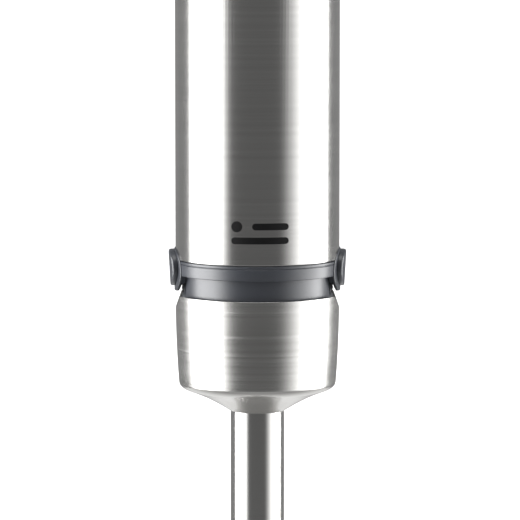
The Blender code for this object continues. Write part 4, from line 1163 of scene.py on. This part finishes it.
@dataclass
class TopCap:
    """Moulded cap with air slots, the speed dial in its recess and the cord gland."""

    top_radius: float = 27.0
    plug: float = 28.6
    plug_depth: float = 7.0
    wall: float = 2.0
    ceiling: float = 7.5
    core: float = 6.0  # radius of the middle that a plate closes
    dial_hole: float = 14.3
    stem_hole: float = 3.4
    gland_hole: float = 5.3
    slots: int = 9
    slot_size: Point = (14.0, 2.4, 3.4)
    slot_pitch: float = math.radians(11)
    slot_level: float = 3.2
    speeds: int = 9
    scale_radius: float = 16.2
    flutes: int = 36
    flute: float = 0.55
    bore: float = 3.3
    crest: float = 6.0  # radius of the dial's shallow middle

    def build(self) -> None:
        """Makes the cap, the dial and the gland."""
        low, high = low_of("top_cap").z, high_of("top_cap").z
        outer, plug, inner = high_of("top_cap").x, self.plug, self.plug - self.wall
        edge = low + self.plug_depth
        ceiling = high - self.ceiling
        cap = turned("top_cap_skin", rounded([
            (outer, edge, 0.5), (outer, high, outer - self.top_radius), (self.core, high, 0.0),
            (self.core, ceiling, 0.0), (inner, ceiling, 0.5), (inner, low, 0.3), (plug, low, 0.3),
            (plug, edge, 0.0),
        ], 12))
        dial, gland = middle_of("speed_dial"), middle_of("cord_gland")
        plate = rod("cap_middle", (self.core + 2.0, self.core + 2.0, high - ceiling),
                    (0.0, 0.0, (high + ceiling) / 2), Axis.Z)
        combine(cap, [plate], Tool.ADD)
        combine(cap, [
            rod("dial_recess", (self.dial_hole, self.dial_hole, 20.0),
                (dial.x, dial.y, low_of("speed_dial").z - GAP + 10.0), Axis.Z, OVAL),
            rod("stem_hole", (self.stem_hole, self.stem_hole, 40.0), (dial.x, dial.y, high), Axis.Z),
            rod("gland_hole", (self.gland_hole, self.gland_hole, 40.0), (gland.x, gland.y, high), Axis.Z),
        ])
        combine(cap, [self.air_slot(index, outer, edge + self.slot_level) for index in range(self.slots)])
        smooth(cap)
        hand_over(cap, Finish.SLATE_ABS, "motor_unit", "grey_plastic", "top_cap")
        self.build_scale(dial, high)
        self.build_dial(dial)
        self.build_gland(gland)

    def air_slot(self, index: int, outer: float, level: float) -> Piece:
        """Makes the cutter of one air slot in the cap's rear.

        Args:
            index: number of the slot.
            outer: radius of the cap.
            level: level of the slots.

        Returns:
            The cutter.
        """
        turn = math.pi / 2 + (index - (self.slots - 1) / 2) * self.slot_pitch
        slot = slab("air_slot", self.slot_size, (outer, 0.0, level), turn)
        ease(slot, 1.1, 4)
        return slot

    def build_scale(self, dial: Vector, level: float) -> None:
        """Prints dots round the dial that grow with the speed.

        Args:
            dial: the dial's middle.
            level: level of the cap's top.
        """
        dots = []
        for index in range(self.speeds):
            turn = math.radians(270 * index / (self.speeds - 1) - 225)
            size = 0.28 + 0.06 * index
            x = dial.x + self.scale_radius * math.cos(turn)
            y = dial.y + self.scale_radius * math.sin(turn)
            dots.append(rod("dot", (size, size, 0.1), (x, y, level), Axis.Z, 24))
        scale = smooth(joined(dots, "speed_scale"))
        hand_over(scale, Finish.WHITE_MARK, "motor_unit", "grey_plastic")

    def build_dial(self, dial: Vector) -> None:
        """Makes the dial with a soft top edge, grip flutes and a white pointer line.

        Args:
            dial: the dial's middle.
        """
        low, high = low_of("speed_dial").z, high_of("speed_dial").z
        radius = high_of("speed_dial").x
        knob = turned("speed_dial_skin", rounded([
            (self.bore, low, 0.0), (radius, low, 0.4), (radius, high, 1.8), (self.crest, high, 0.0),
            (self.crest - 0.05, high - 0.4, 0.0), (self.bore, high - 0.4, 0.0),
        ], 6), 144, Close.LOOP, (dial.x, dial.y))
        lid = rod("dial_middle", (self.crest - 0.5, self.crest - 0.5, 2.5), (dial.x, dial.y, high - 1.65),
                  Axis.Z)
        combine(knob, [lid], Tool.ADD)
        grip = []
        for index in range(self.flutes):
            turn = math.tau * index / self.flutes
            x = dial.x + (radius + 0.2) * math.cos(turn)
            y = dial.y + (radius + 0.2) * math.sin(turn)
            grip.append(rod("flute", (self.flute, self.flute, high - low - 3.0), (x, y, (high + low) / 2),
                            Axis.Z, 16))
        combine(knob, [joined(grip, "flutes")])
        smooth(knob, 35.0)
        hand_over(knob, Finish.DARK_ABS, "speed_dial", "dark_plastic", "speed_dial")
        line = slab("dial_pointer", (1.0, 5.5, 0.3), (dial.x, dial.y - radius + 5.0, high - 0.05))
        ease(line, 0.12, 2)
        hand_over(smooth(line), Finish.WHITE_MARK, "speed_dial", "grey_plastic")

    def build_gland(self, gland: Vector) -> None:
        """Makes the short rubber gland with a flange where it sits on the cap.

        Args:
            gland: the gland's middle.
        """
        low, high = low_of("cord_gland").z, high_of("cord_gland").z
        flange = high_of("cord_gland").x
        top = high_of("top_cap").z + GAP
        mouth, shank = self.stem_hole, self.gland_hole - GAP
        gland_skin = turned("cord_gland_skin", rounded([
            (mouth, low, 0.3), (shank, low, 0.3), (shank, top, 0.0), (flange, top, 0.2),
            (flange, top + 1.2, 0.4), (flange - 0.9, top + 1.4, 0.2), (flange - 1.2, high, 0.5),
            (mouth, high, 0.5),
        ]), 96, Close.LOOP, (gland.x, gland.y))
        hand_over(smooth(gland_skin, 40.0), Finish.RUBBER, "motor_unit", "soft_rubber", "cord_gland")


# ---- the foot -------------------------------------------------------------------------
@dataclass
class Foot:
    """Steel cup, tube and bell guard, with the moulded liner inside the cup."""

    wall: float = 0.8
    side: float = 34.5
    taper: float = 1.3
    corner: float = 3.2
    slope: float = 0.34
    curve: float = 0.0095
    rim: float = 0.28
    tube_hole: float = 10.8
    tube_wall: float = 0.9
    scallop_depth: float = 5.5
    scallop_inset: float = 2.2
    scallop_rise: float = 60.0  # a high centre makes the arch nearly a parabola
    liner_wall: float = 1.0
    liner_floor: float = 21.0
    guard_wall: float = 1.2
    dome: float = 32.0
    notch_radius: float = 9.0
    radius: float = field(init=False)
    top: float = field(init=False)

    def __post_init__(self) -> None:
        """Reads the cup's size from the frame."""
        self.radius = high_of("foot_cup").y
        self.top = high_of("foot_cup").z

    def build(self) -> None:
        """Makes every piece of the foot that shows."""
        self.build_cup()
        self.build_liner()
        self.build_tube()
        self.build_guard()

    def underside(self, inset: float) -> list[Station]:
        """Draws the cup's wall from its top edge to the tube.

        Args:
            inset: distance inwards from the outer skin.

        Returns:
            (radius, depth) stations, with the depth counted from the cup's top.
        """
        side_steps, arc_steps = 12, 10
        stations = []
        for step in range(1, side_steps + 1):
            share = step / side_steps
            stations.append((self.radius - self.taper * share**2 - inset, self.side * share))
        cone_start = self.radius - self.taper - self.corner
        start = Vector((self.radius - self.taper, self.side))
        end = Vector((cone_start, self.side + self.corner))
        pull = Vector((start.x - 0.1, end.y - self.slope * self.corner))
        for step in range(1, arc_steps + 1):
            share = step / arc_steps
            point = start.lerp(pull, share).lerp(pull.lerp(end, share), share)
            stations.append((point.x - inset * (1 - share), point.y - inset * share))
        for step in range(1, arc_steps + 1):
            radius = cone_start + (self.tube_hole - cone_start) * (step / arc_steps)
            inward = cone_start - radius
            depth = self.side + self.corner + self.slope * inward + self.curve * inward**2
            stations.append((radius, depth - inset))
        return stations

    def build_cup(self) -> None:
        """Makes the drawn cup with a rounded rim and a scallop under each release button."""
        rim = self.rim
        outline = [(self.radius - self.wall + 0.15, 0.05), (self.radius - self.wall / 2, 0.0)]
        outline += [
            (self.radius - rim + rim * math.sin(turn), rim - rim * math.cos(turn))
            for turn in (math.pi / 2 * step / 4 for step in range(5))
        ]
        outline += self.underside(0.0)
        outline += self.underside(self.wall)[::-1] + [(self.radius - self.wall, 0.2)]
        cup = turned("foot_cup_skin", [(radius, self.top - depth) for radius, depth in outline])
        combine(cup, [self.scallop_cutter()])
        smooth(cup, 35.0)
        hand_over(cup, Finish.CUP_STEEL, "foot", "brushed_steel", "foot_cup")

    def scallop_cutter(self) -> Piece:
        """Makes a tall elliptic rod that cuts an arch in the cup's left and right sides.

        Returns:
            The cutter.
        """
        half_height = self.scallop_rise + self.scallop_depth
        mouth = math.sqrt(self.radius**2 - (self.radius - self.scallop_inset) ** 2)
        half_width = mouth / math.sqrt(1.0 - (self.scallop_rise / half_height) ** 2)
        return rod("scallop", (half_width, half_height, THROUGH), (0.0, 0.0, self.top + self.scallop_rise),
                   Axis.X, 256)

    def build_liner(self) -> None:
        """Makes the liner's skirt with its latch notches and windows, floor and boss."""
        outer = high_of("coupling_liner").y
        inner = outer - self.liner_wall
        top, floor = self.top, self.top - self.liner_floor
        low = low_of("coupling_liner").z
        liner = turned("coupling_liner_skin", rounded([
            (inner, top - 0.4, 0.25), (outer, top - 0.4, 0.25), (outer - 0.1, top - 12.0, 0.0),
            (outer - 0.75, floor - 3.5, 0.4), (9.3, floor - 3.5, 0.4), (9.3, low, 0.3), (4.0, low, 0.3),
            (4.0, floor - 10.6, 0.0), (6.3, floor - 10.6, 0.0), (6.3, floor, 0.3),
            (inner - 0.75, floor, 0.5), (inner, top - 14.0, 0.0),
        ], 3))
        combine(liner, [
            slab("liner_cut", (6.0, 23.0, high - deep),
                 (side.value * (inner + 1.0), 0.0, top + (high + deep) / 2))
            for side in Side for high, deep in ((1.0, -6.4), (-8.0, -12.0))
        ])
        smooth(liner)
        hand_over(liner, Finish.BLACK_NYLON, "foot", "dark_plastic", "coupling_liner")

    def build_tube(self) -> None:
        """Makes the polished tube."""
        low, high = span("shaft_tube")
        inner = high.x - self.tube_wall
        tube = turned("shaft_tube_skin", rounded([
            (inner, low.z, 0.1), (high.x, low.z, 0.2), (high.x, high.z, 0.2), (inner, high.z, 0.1),
        ]), 128)
        hand_over(smooth(tube), Finish.TUBE_STEEL, "foot", "polished_steel", "shaft_tube")

    def bell(self, inset: float) -> list[Station]:
        """Draws the bell from its rim to its collar.

        Args:
            inset: distance inwards from the outer skin.

        Returns:
            (radius, height) stations.
        """
        points = 28
        rim = high_of("blade_guard").x - inset
        neck = self.tube_hole + 1.2 - inset
        stations = []
        for step in range(points + 1):
            share = math.sin(math.pi / 2 * step / points)
            radius = neck + (rim - neck) * (1 - share**2.6) ** 0.667
            stations.append((radius, (self.dome - inset) * share))
        return stations

    def build_guard(self) -> None:
        """Makes the bell guard with a rounded rim, four notches and a weld bead at the tube."""
        top = high_of("blade_guard").z
        outer, inner = self.bell(0.0), self.bell(self.guard_wall)
        neck, rim = outer[-1][0], outer[0][0]
        outline = outer[1:] + [(neck, top - 1.6), (neck - 0.3, top - 0.5), (neck - 0.8, top),
                               (self.tube_hole, top)]
        outline += inner[::-1][:-1]
        outline += [(rim - 1.2, 0.4), (rim - 1.0, 0.1), (rim - 0.6, 0.0), (rim - 0.2, 0.1), (rim, 0.4)]
        guard = turned("blade_guard_skin", outline)
        combine(guard, [self.notch(math.pi / 4), self.notch(3 * math.pi / 4)])
        smooth(guard, 35.0)
        hand_over(guard, Finish.TUBE_STEEL, "foot", "polished_steel", "blade_guard")

    def notch(self, turn: float) -> Piece:
        """Makes a round cutter that opens two opposite notches in the rim.

        Args:
            turn: its direction, in radians.

        Returns:
            The cutter.
        """
        cutter = add(bpy.ops.mesh.primitive_cylinder_add, vertices=96, radius=self.notch_radius * MM,
                     depth=200 * MM, location=(0.0, 0.0, -1.5 * MM), rotation=(0.0, math.pi / 2, turn))
        return settle(cutter, "notch")


@dataclass
class Cutter:
    """The blade on its spindle, with its nut."""

    hub: float = 5.2
    thickness: float = 1.2
    level: float = 12.0
    bore: float = 3.3
    bend_start: float = 12.0
    rise: float = 0.42  # of one wing for each millimetre outwards
    fall: float = -0.3  # of the other wing

    def build(self) -> None:
        """Makes the blade and its nut."""
        self.build_blade()
        self.build_nut()

    def build_blade(self) -> None:
        """Makes two wings drawn out of a hub block, narrowed towards their tips and bent."""
        centre = (0.0, 0.0, (self.level + self.thickness / 2) * MM)
        blade = add(bpy.ops.mesh.primitive_cube_add, size=MM, location=centre)
        edit_all(blade)
        bpy.ops.transform.resize(value=(2 * self.hub, 2 * self.hub, self.thickness), center_override=centre)
        settle(blade, "blade_skin")
        self.draw_wing(blade, 1, self.rise)
        self.draw_wing(blade, -1, self.fall)
        combine(blade, [rod("blade_hole", (self.bore, self.bore, 20.0), (0.0, 0.0, self.level), Axis.Z)])
        ease(blade, 0.12, 2, 40.0)
        smooth(blade, 30.0)
        hand_over(blade, Finish.TUBE_STEEL, "blade_spindle", "polished_steel", "blade")

    def draw_wing(self, blade: Piece, sign: int, slope: float) -> None:
        """Extrudes one wing from the hub's end face, narrows it to its tip and bends it.

        Args:
            blade: the blade.
            sign: 1 for the +X wing, -1 for the -X wing.
            slope: rise of the bent part for each millimetre outwards.
        """
        tip = high_of("blade").x - 0.2
        stations = (  # distance from the axis, narrowing, and drift along Y
            (9.0, 0.93, -0.1), (self.bend_start, 0.92, -0.2), (15.5, 0.93, -0.35), (19.0, 0.88, -0.4),
            (22.5, 0.6, -0.7), (tip, 0.25, -0.5),
        )
        edit_all(blade)
        bpy.ops.mesh.select_mode(type="FACE")
        bpy.ops.mesh.select_all(action="DESELECT")
        bpy.ops.object.mode_set(mode="OBJECT")
        end = max(blade.data.polygons, key=lambda polygon: polygon.center.x * sign)
        end.select = True
        bpy.ops.object.mode_set(mode="EDIT")
        spot = Vector((sign * self.hub, 0.0, self.level + self.thickness / 2))
        for x, narrow, drift in stations:
            rise = slope * (x - abs(spot.x)) if x > self.bend_start else 0.0
            step = Vector((sign * x - spot.x, sign * drift, rise))
            bpy.ops.mesh.extrude_region_move(TRANSFORM_OT_translate={"value": step * MM})
            spot += step
            bpy.ops.transform.resize(value=(1.0, narrow, 0.97), center_override=spot * MM)
        bpy.ops.mesh.select_mode(type="VERT")
        bpy.ops.object.mode_set(mode="OBJECT")

    def build_nut(self) -> None:
        """Makes the domed hexagon nut under the blade."""
        low, high = low_of("blade_nut").z, high_of("blade_nut").z
        nut = turned("blade_nut_skin", [(self.bore, high), (5.2, high), (5.2, low + 0.6), (4.4, low),
                                        (self.bore, low)], 6)
        dome = turned("nut_dome", [(6.0, high), (6.0, low + 1.2), (5.1, low + 0.35), (4.2, low), (0.02, low),
                                   (0.02, high)], 64, Close.CAPS)
        core = rod("nut_core", (self.bore + 0.2, self.bore + 0.2, 1.2), (0.0, 0.0, low + 0.6), Axis.Z)
        combine(nut, [core], Tool.ADD)
        combine(nut, [dome], Tool.KEEP)
        smooth(nut, 30.0)
        hand_over(nut, Finish.TUBE_STEEL, "blade_spindle", "polished_steel", "blade_nut")


# ---- pieces that keep their CAD shape -------------------------------------------------
@dataclass(frozen=True)
class Inside:
    """Hidden pieces, whose CAD meshes are right and get their real materials."""

    groups: tuple[tuple[Finish, str], ...] = (
        (Finish.GROUND_STEEL, "release_spring_left release_spring_right run_spring boost_spring "
                              "speed_sensor bearing_lower bearing_upper motor_bolt_front "
                              "motor_bolt_rear motor_shaft drive_shaft blade_spacer"),
        (Finish.DARK_ABS, "run_switch boost_switch chassis_front chassis_rear cooling_fan"),
        (Finish.BLACK_NYLON, "drive_coupler"),
        (Finish.BOARD, "control_board sensor_board"),
        (Finish.CASTING, "motor_bracket_lower motor_bracket_upper"),
        (Finish.RUBBER, "rubber_mount motor_seal shaft_seal"),
        (Finish.LAMINATIONS, "stator_core armature_core"),
        (Finish.COPPER_WIRE, "field_coil_left field_coil_right armature_winding_lower "
                             "armature_winding_upper"),
        (Finish.COPPER_BAR, "commutator"),
        (Finish.CARBON, "carbon_brush_front carbon_brush_rear"),
        (Finish.BRONZE, "upper_bush lower_bush"),
        (Finish.NYLON, "dial_shaft brush_holder_front brush_holder_rear bearing_housing drive_socket"),
    )

    def build(self) -> None:
        """Dresses every CAD node that still shows its own mesh."""
        for finish, names in self.groups:
            for name in names.split():
                dress(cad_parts[name], finish)
                log.info("%s keeps its CAD mesh", name)


# ---- studio ---------------------------------------------------------------------------
def hide_from(piece: Piece, *rays: str) -> None:
    """Makes a piece invisible to some kinds of ray, such as glossy."""
    for ray in rays:
        setattr(piece, f"visible_{ray}", False)


@dataclass(frozen=True)
class Softbox:
    """A tall soft light beside the object, whose front edge fades out.

    Its three angles are counted round the object from the camera's side. The right-hand
    box has positive angles and the left-hand box negative ones.
    """

    name: str
    front: float
    full: float
    rear: float
    radiance: float
    distance: float = 1500.0
    height: float = 2600.0
    level: float = 500.0
    fade_power: float = 2.0

    def build(self) -> None:
        """Makes the light, facing the object."""
        turn = math.radians(self.front + self.rear) / 2
        half = math.tan(math.radians(abs(self.rear - self.front)) / 2)
        width = 2 * self.distance * half
        lamp = add(
            bpy.ops.object.light_add, type="AREA", rotation=(math.pi / 2, 0.0, turn),
            location=(self.distance * math.sin(turn) * MM, -self.distance * math.cos(turn) * MM,
                      self.level * MM),
        )
        lamp.name = self.name
        lamp.data.shape = "RECTANGLE"
        lamp.data.size = width * MM
        lamp.data.size_y = self.height * MM
        lamp.data.energy = self.radiance * math.pi * width * self.height * MM * MM
        hide_from(lamp, "camera")
        self.fade(lamp.data, 0.5 - math.tan(abs(turn) - math.radians(abs(self.full))) / (2 * half))

    def fade(self, light: bpy.types.Light, full: float) -> None:
        """Lets the light fade towards its front edge.

        Args:
            light: the area light.
            full: share of its width, from the front edge, where it reaches its full strength.
        """
        light.use_nodes = True
        tree = light.node_tree
        dark, lit = (0.0, full) if self.front > 0 else (1.0, 1.0 - full)
        place = add_node(tree, "NewGeometry", {}).outputs["Parametric"]
        across = add_node(tree, "SeparateXYZ", {"Vector": place}).outputs["X"]
        ramp = add_node(tree, "MapRange", {"Value": across, "From Min": dark, "From Max": lit})
        power = add_node(tree, "Math", {0: ramp.outputs["Result"], 1: self.fade_power}, operation="POWER")
        tree.links.new(power.outputs[0], tree.nodes["Emission"].inputs["Strength"])


@dataclass
class Studio:
    """White sweep, soft lights, dark surround and the camera."""

    table_radius: float = 600.0
    floor_radius: float = 30000.0
    wall_height: float = 12000.0
    sheet: float = 10.0
    card_radius: float = 420.0
    top_light_side: float = 1.2  # in metres, as are the next two
    top_light_level: float = 2.2
    top_light_front: float = -0.3
    top_radiance: float = 2.0
    camera_distance: float = 1600.0
    view_height: float = 202.9
    sensor: float = 36.0
    elevation: float = math.radians(6.0)
    aim: Vector = field(default_factory=lambda: Vector((1.0, 0.0, 225.0)))

    def build(self) -> None:
        """Makes the floor, the lights and the camera."""
        self.build_table()
        self.build_sweep()
        self.build_bounce_card()
        Softbox("left_softbox", -36.5, -66.0, -107.0, 7.0).build()
        Softbox("right_softbox", 30.5, 101.0, 113.5, 7.5).build()
        self.build_top_light()
        self.build_surround()
        self.build_camera()
        bpy.context.scene.view_settings.view_transform = "Standard"

    def disc(self, radius: float, name: str) -> Piece:
        """A flat disc at floor level."""
        return settle(add(bpy.ops.mesh.primitive_circle_add, vertices=96, radius=radius * MM,
                          fill_type="NGON"), name)

    def lit(self, name: str, colour: str, roughness: float) -> Shader:
        """Starts the material of a surface that gives white light.

        Args:
            name: the material's name.
            colour: its own hex colour.
            roughness: its roughness.

        Returns:
            The material under construction.
        """
        shader = Shader(name)
        shader.steady({"Base Color": linear(colour), "Emission Color": linear("#ffffff"),
                       "Roughness": roughness})
        return shader

    def stand(self, piece: Piece, shader: Shader, *rays: str) -> None:
        """Gives a piece of the stage its material and hides it from some rays.

        Args:
            piece: the piece of the stage.
            shader: its material.
            rays: kinds of ray that don't see it.
        """
        piece.data.materials.append(shader.material)
        hide_from(piece, *rays)

    def build_table(self) -> None:
        """Makes the white table, which gives more light towards its edge."""
        white = self.lit("white_laminate", "#b4b4b4", 0.6)
        reach = add_node(white.tree, "VectorMath", {0: white.place((1.0, 1.0, 0.0))}, operation="LENGTH")
        white.feed("Emission Strength", add_node(white.tree, "MapRange", {
            "Value": reach.outputs["Value"], "From Min": 0.25 * self.table_radius * MM,
            "From Max": 0.9 * self.table_radius * MM, "To Min": 0.15, "To Max": 1.0,
        }).outputs["Result"])
        self.stand(self.disc(self.table_radius, "table"), white, "glossy")

    def build_sweep(self) -> None:
        """Makes the self-lit white sweep round the table, which only the camera sees."""
        inner, outer, wall = self.table_radius, self.floor_radius, self.wall_height
        sweep = turned("sweep", [(inner, 0.0), (outer, 0.0), (outer, wall), (outer + self.sheet, wall),
                                 (outer + self.sheet, -self.sheet), (inner, -self.sheet)], 96)
        glow = self.lit("lit_white_sweep", "#f4f4f4", 0.8)
        glow.steady({"Emission Strength": 1.0})
        self.stand(sweep, glow, "glossy", "diffuse")

    def build_bounce_card(self) -> None:
        """Makes a lit card on the table that only shiny surfaces see, brighter at the rear."""
        card = self.lit("bounce_card", "#000000", 1.0)
        split = add_node(card.tree, "SeparateXYZ", {"Vector": card.place((1.0, 1.0, 1.0))})
        card.feed("Emission Strength", add_node(card.tree, "MapRange", {
            "Value": split.outputs["Y"], "From Min": -0.1, "From Max": 0.12, "To Min": 0.45, "To Max": 1.1,
        }).outputs["Result"])
        self.stand(self.disc(self.card_radius, "bounce_card"), card, "camera", "diffuse", "shadow")

    def build_top_light(self) -> None:
        """Makes the light overhead, which draws the thin bright line on every upper edge."""
        side = self.top_light_side
        lamp = add(bpy.ops.object.light_add, type="AREA",
                   location=(0.0, self.top_light_front, self.top_light_level))
        lamp.name = "top_softbox"
        lamp.data.size = side
        lamp.data.energy = self.top_radiance * math.pi * side * side
        hide_from(lamp, "camera")

    def build_surround(self) -> None:
        """Makes the room dark in front of the object and grey behind it."""
        world = bpy.data.worlds.new("dark_studio")
        bpy.context.scene.world = world
        world.use_nodes = True
        tree = world.node_tree
        tree.nodes.clear()
        place = add_node(tree, "TexCoord", {}).outputs["Generated"]
        along = add_node(tree, "SeparateXYZ", {"Vector": place}).outputs["Y"]
        ramp = add_node(tree, "MapRange", {
            "Value": along, "From Min": -0.6, "From Max": 0.9, "To Min": 0.15, "To Max": 0.30,
        }).outputs["Result"]
        room = add_node(tree, "Background", {"Color": (1.0, 1.0, 1.0, 1.0), "Strength": ramp})
        add_node(tree, "OutputWorld", {"Surface": room.outputs["Background"]})

    def build_camera(self) -> None:
        """Puts a long lens in front of the object, a little above its collar."""
        back, tilt = self.camera_distance, self.elevation
        place = self.aim + Vector((0.0, -back * math.cos(tilt), back * math.sin(tilt)))
        camera = add(bpy.ops.object.camera_add, location=place * MM, rotation=(math.pi / 2 - tilt, 0.0, 0.0))
        camera.name = "camera"
        camera.data.sensor_width = self.sensor
        camera.data.lens = self.sensor * back / self.view_height
        camera.data.clip_end = 100.0
        bpy.context.scene.camera = camera


def main() -> None:
    """Builds the blender piece by piece and sets up the studio."""
    logging.basicConfig(level=logging.INFO, format="%(message)s")
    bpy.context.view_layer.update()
    assemblies = (
        MotorSleeve(), Collar(), Release(Side.LEFT), Release(Side.RIGHT), KeyPanel(), TopCap(), Foot(),
        Cutter(), Inside(), Studio(),
    )
    for assembly in assemblies:
        assembly.build()
        log.info("%s is ready", type(assembly).__name__)
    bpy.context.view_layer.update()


if __name__ == "__main__":
    main()
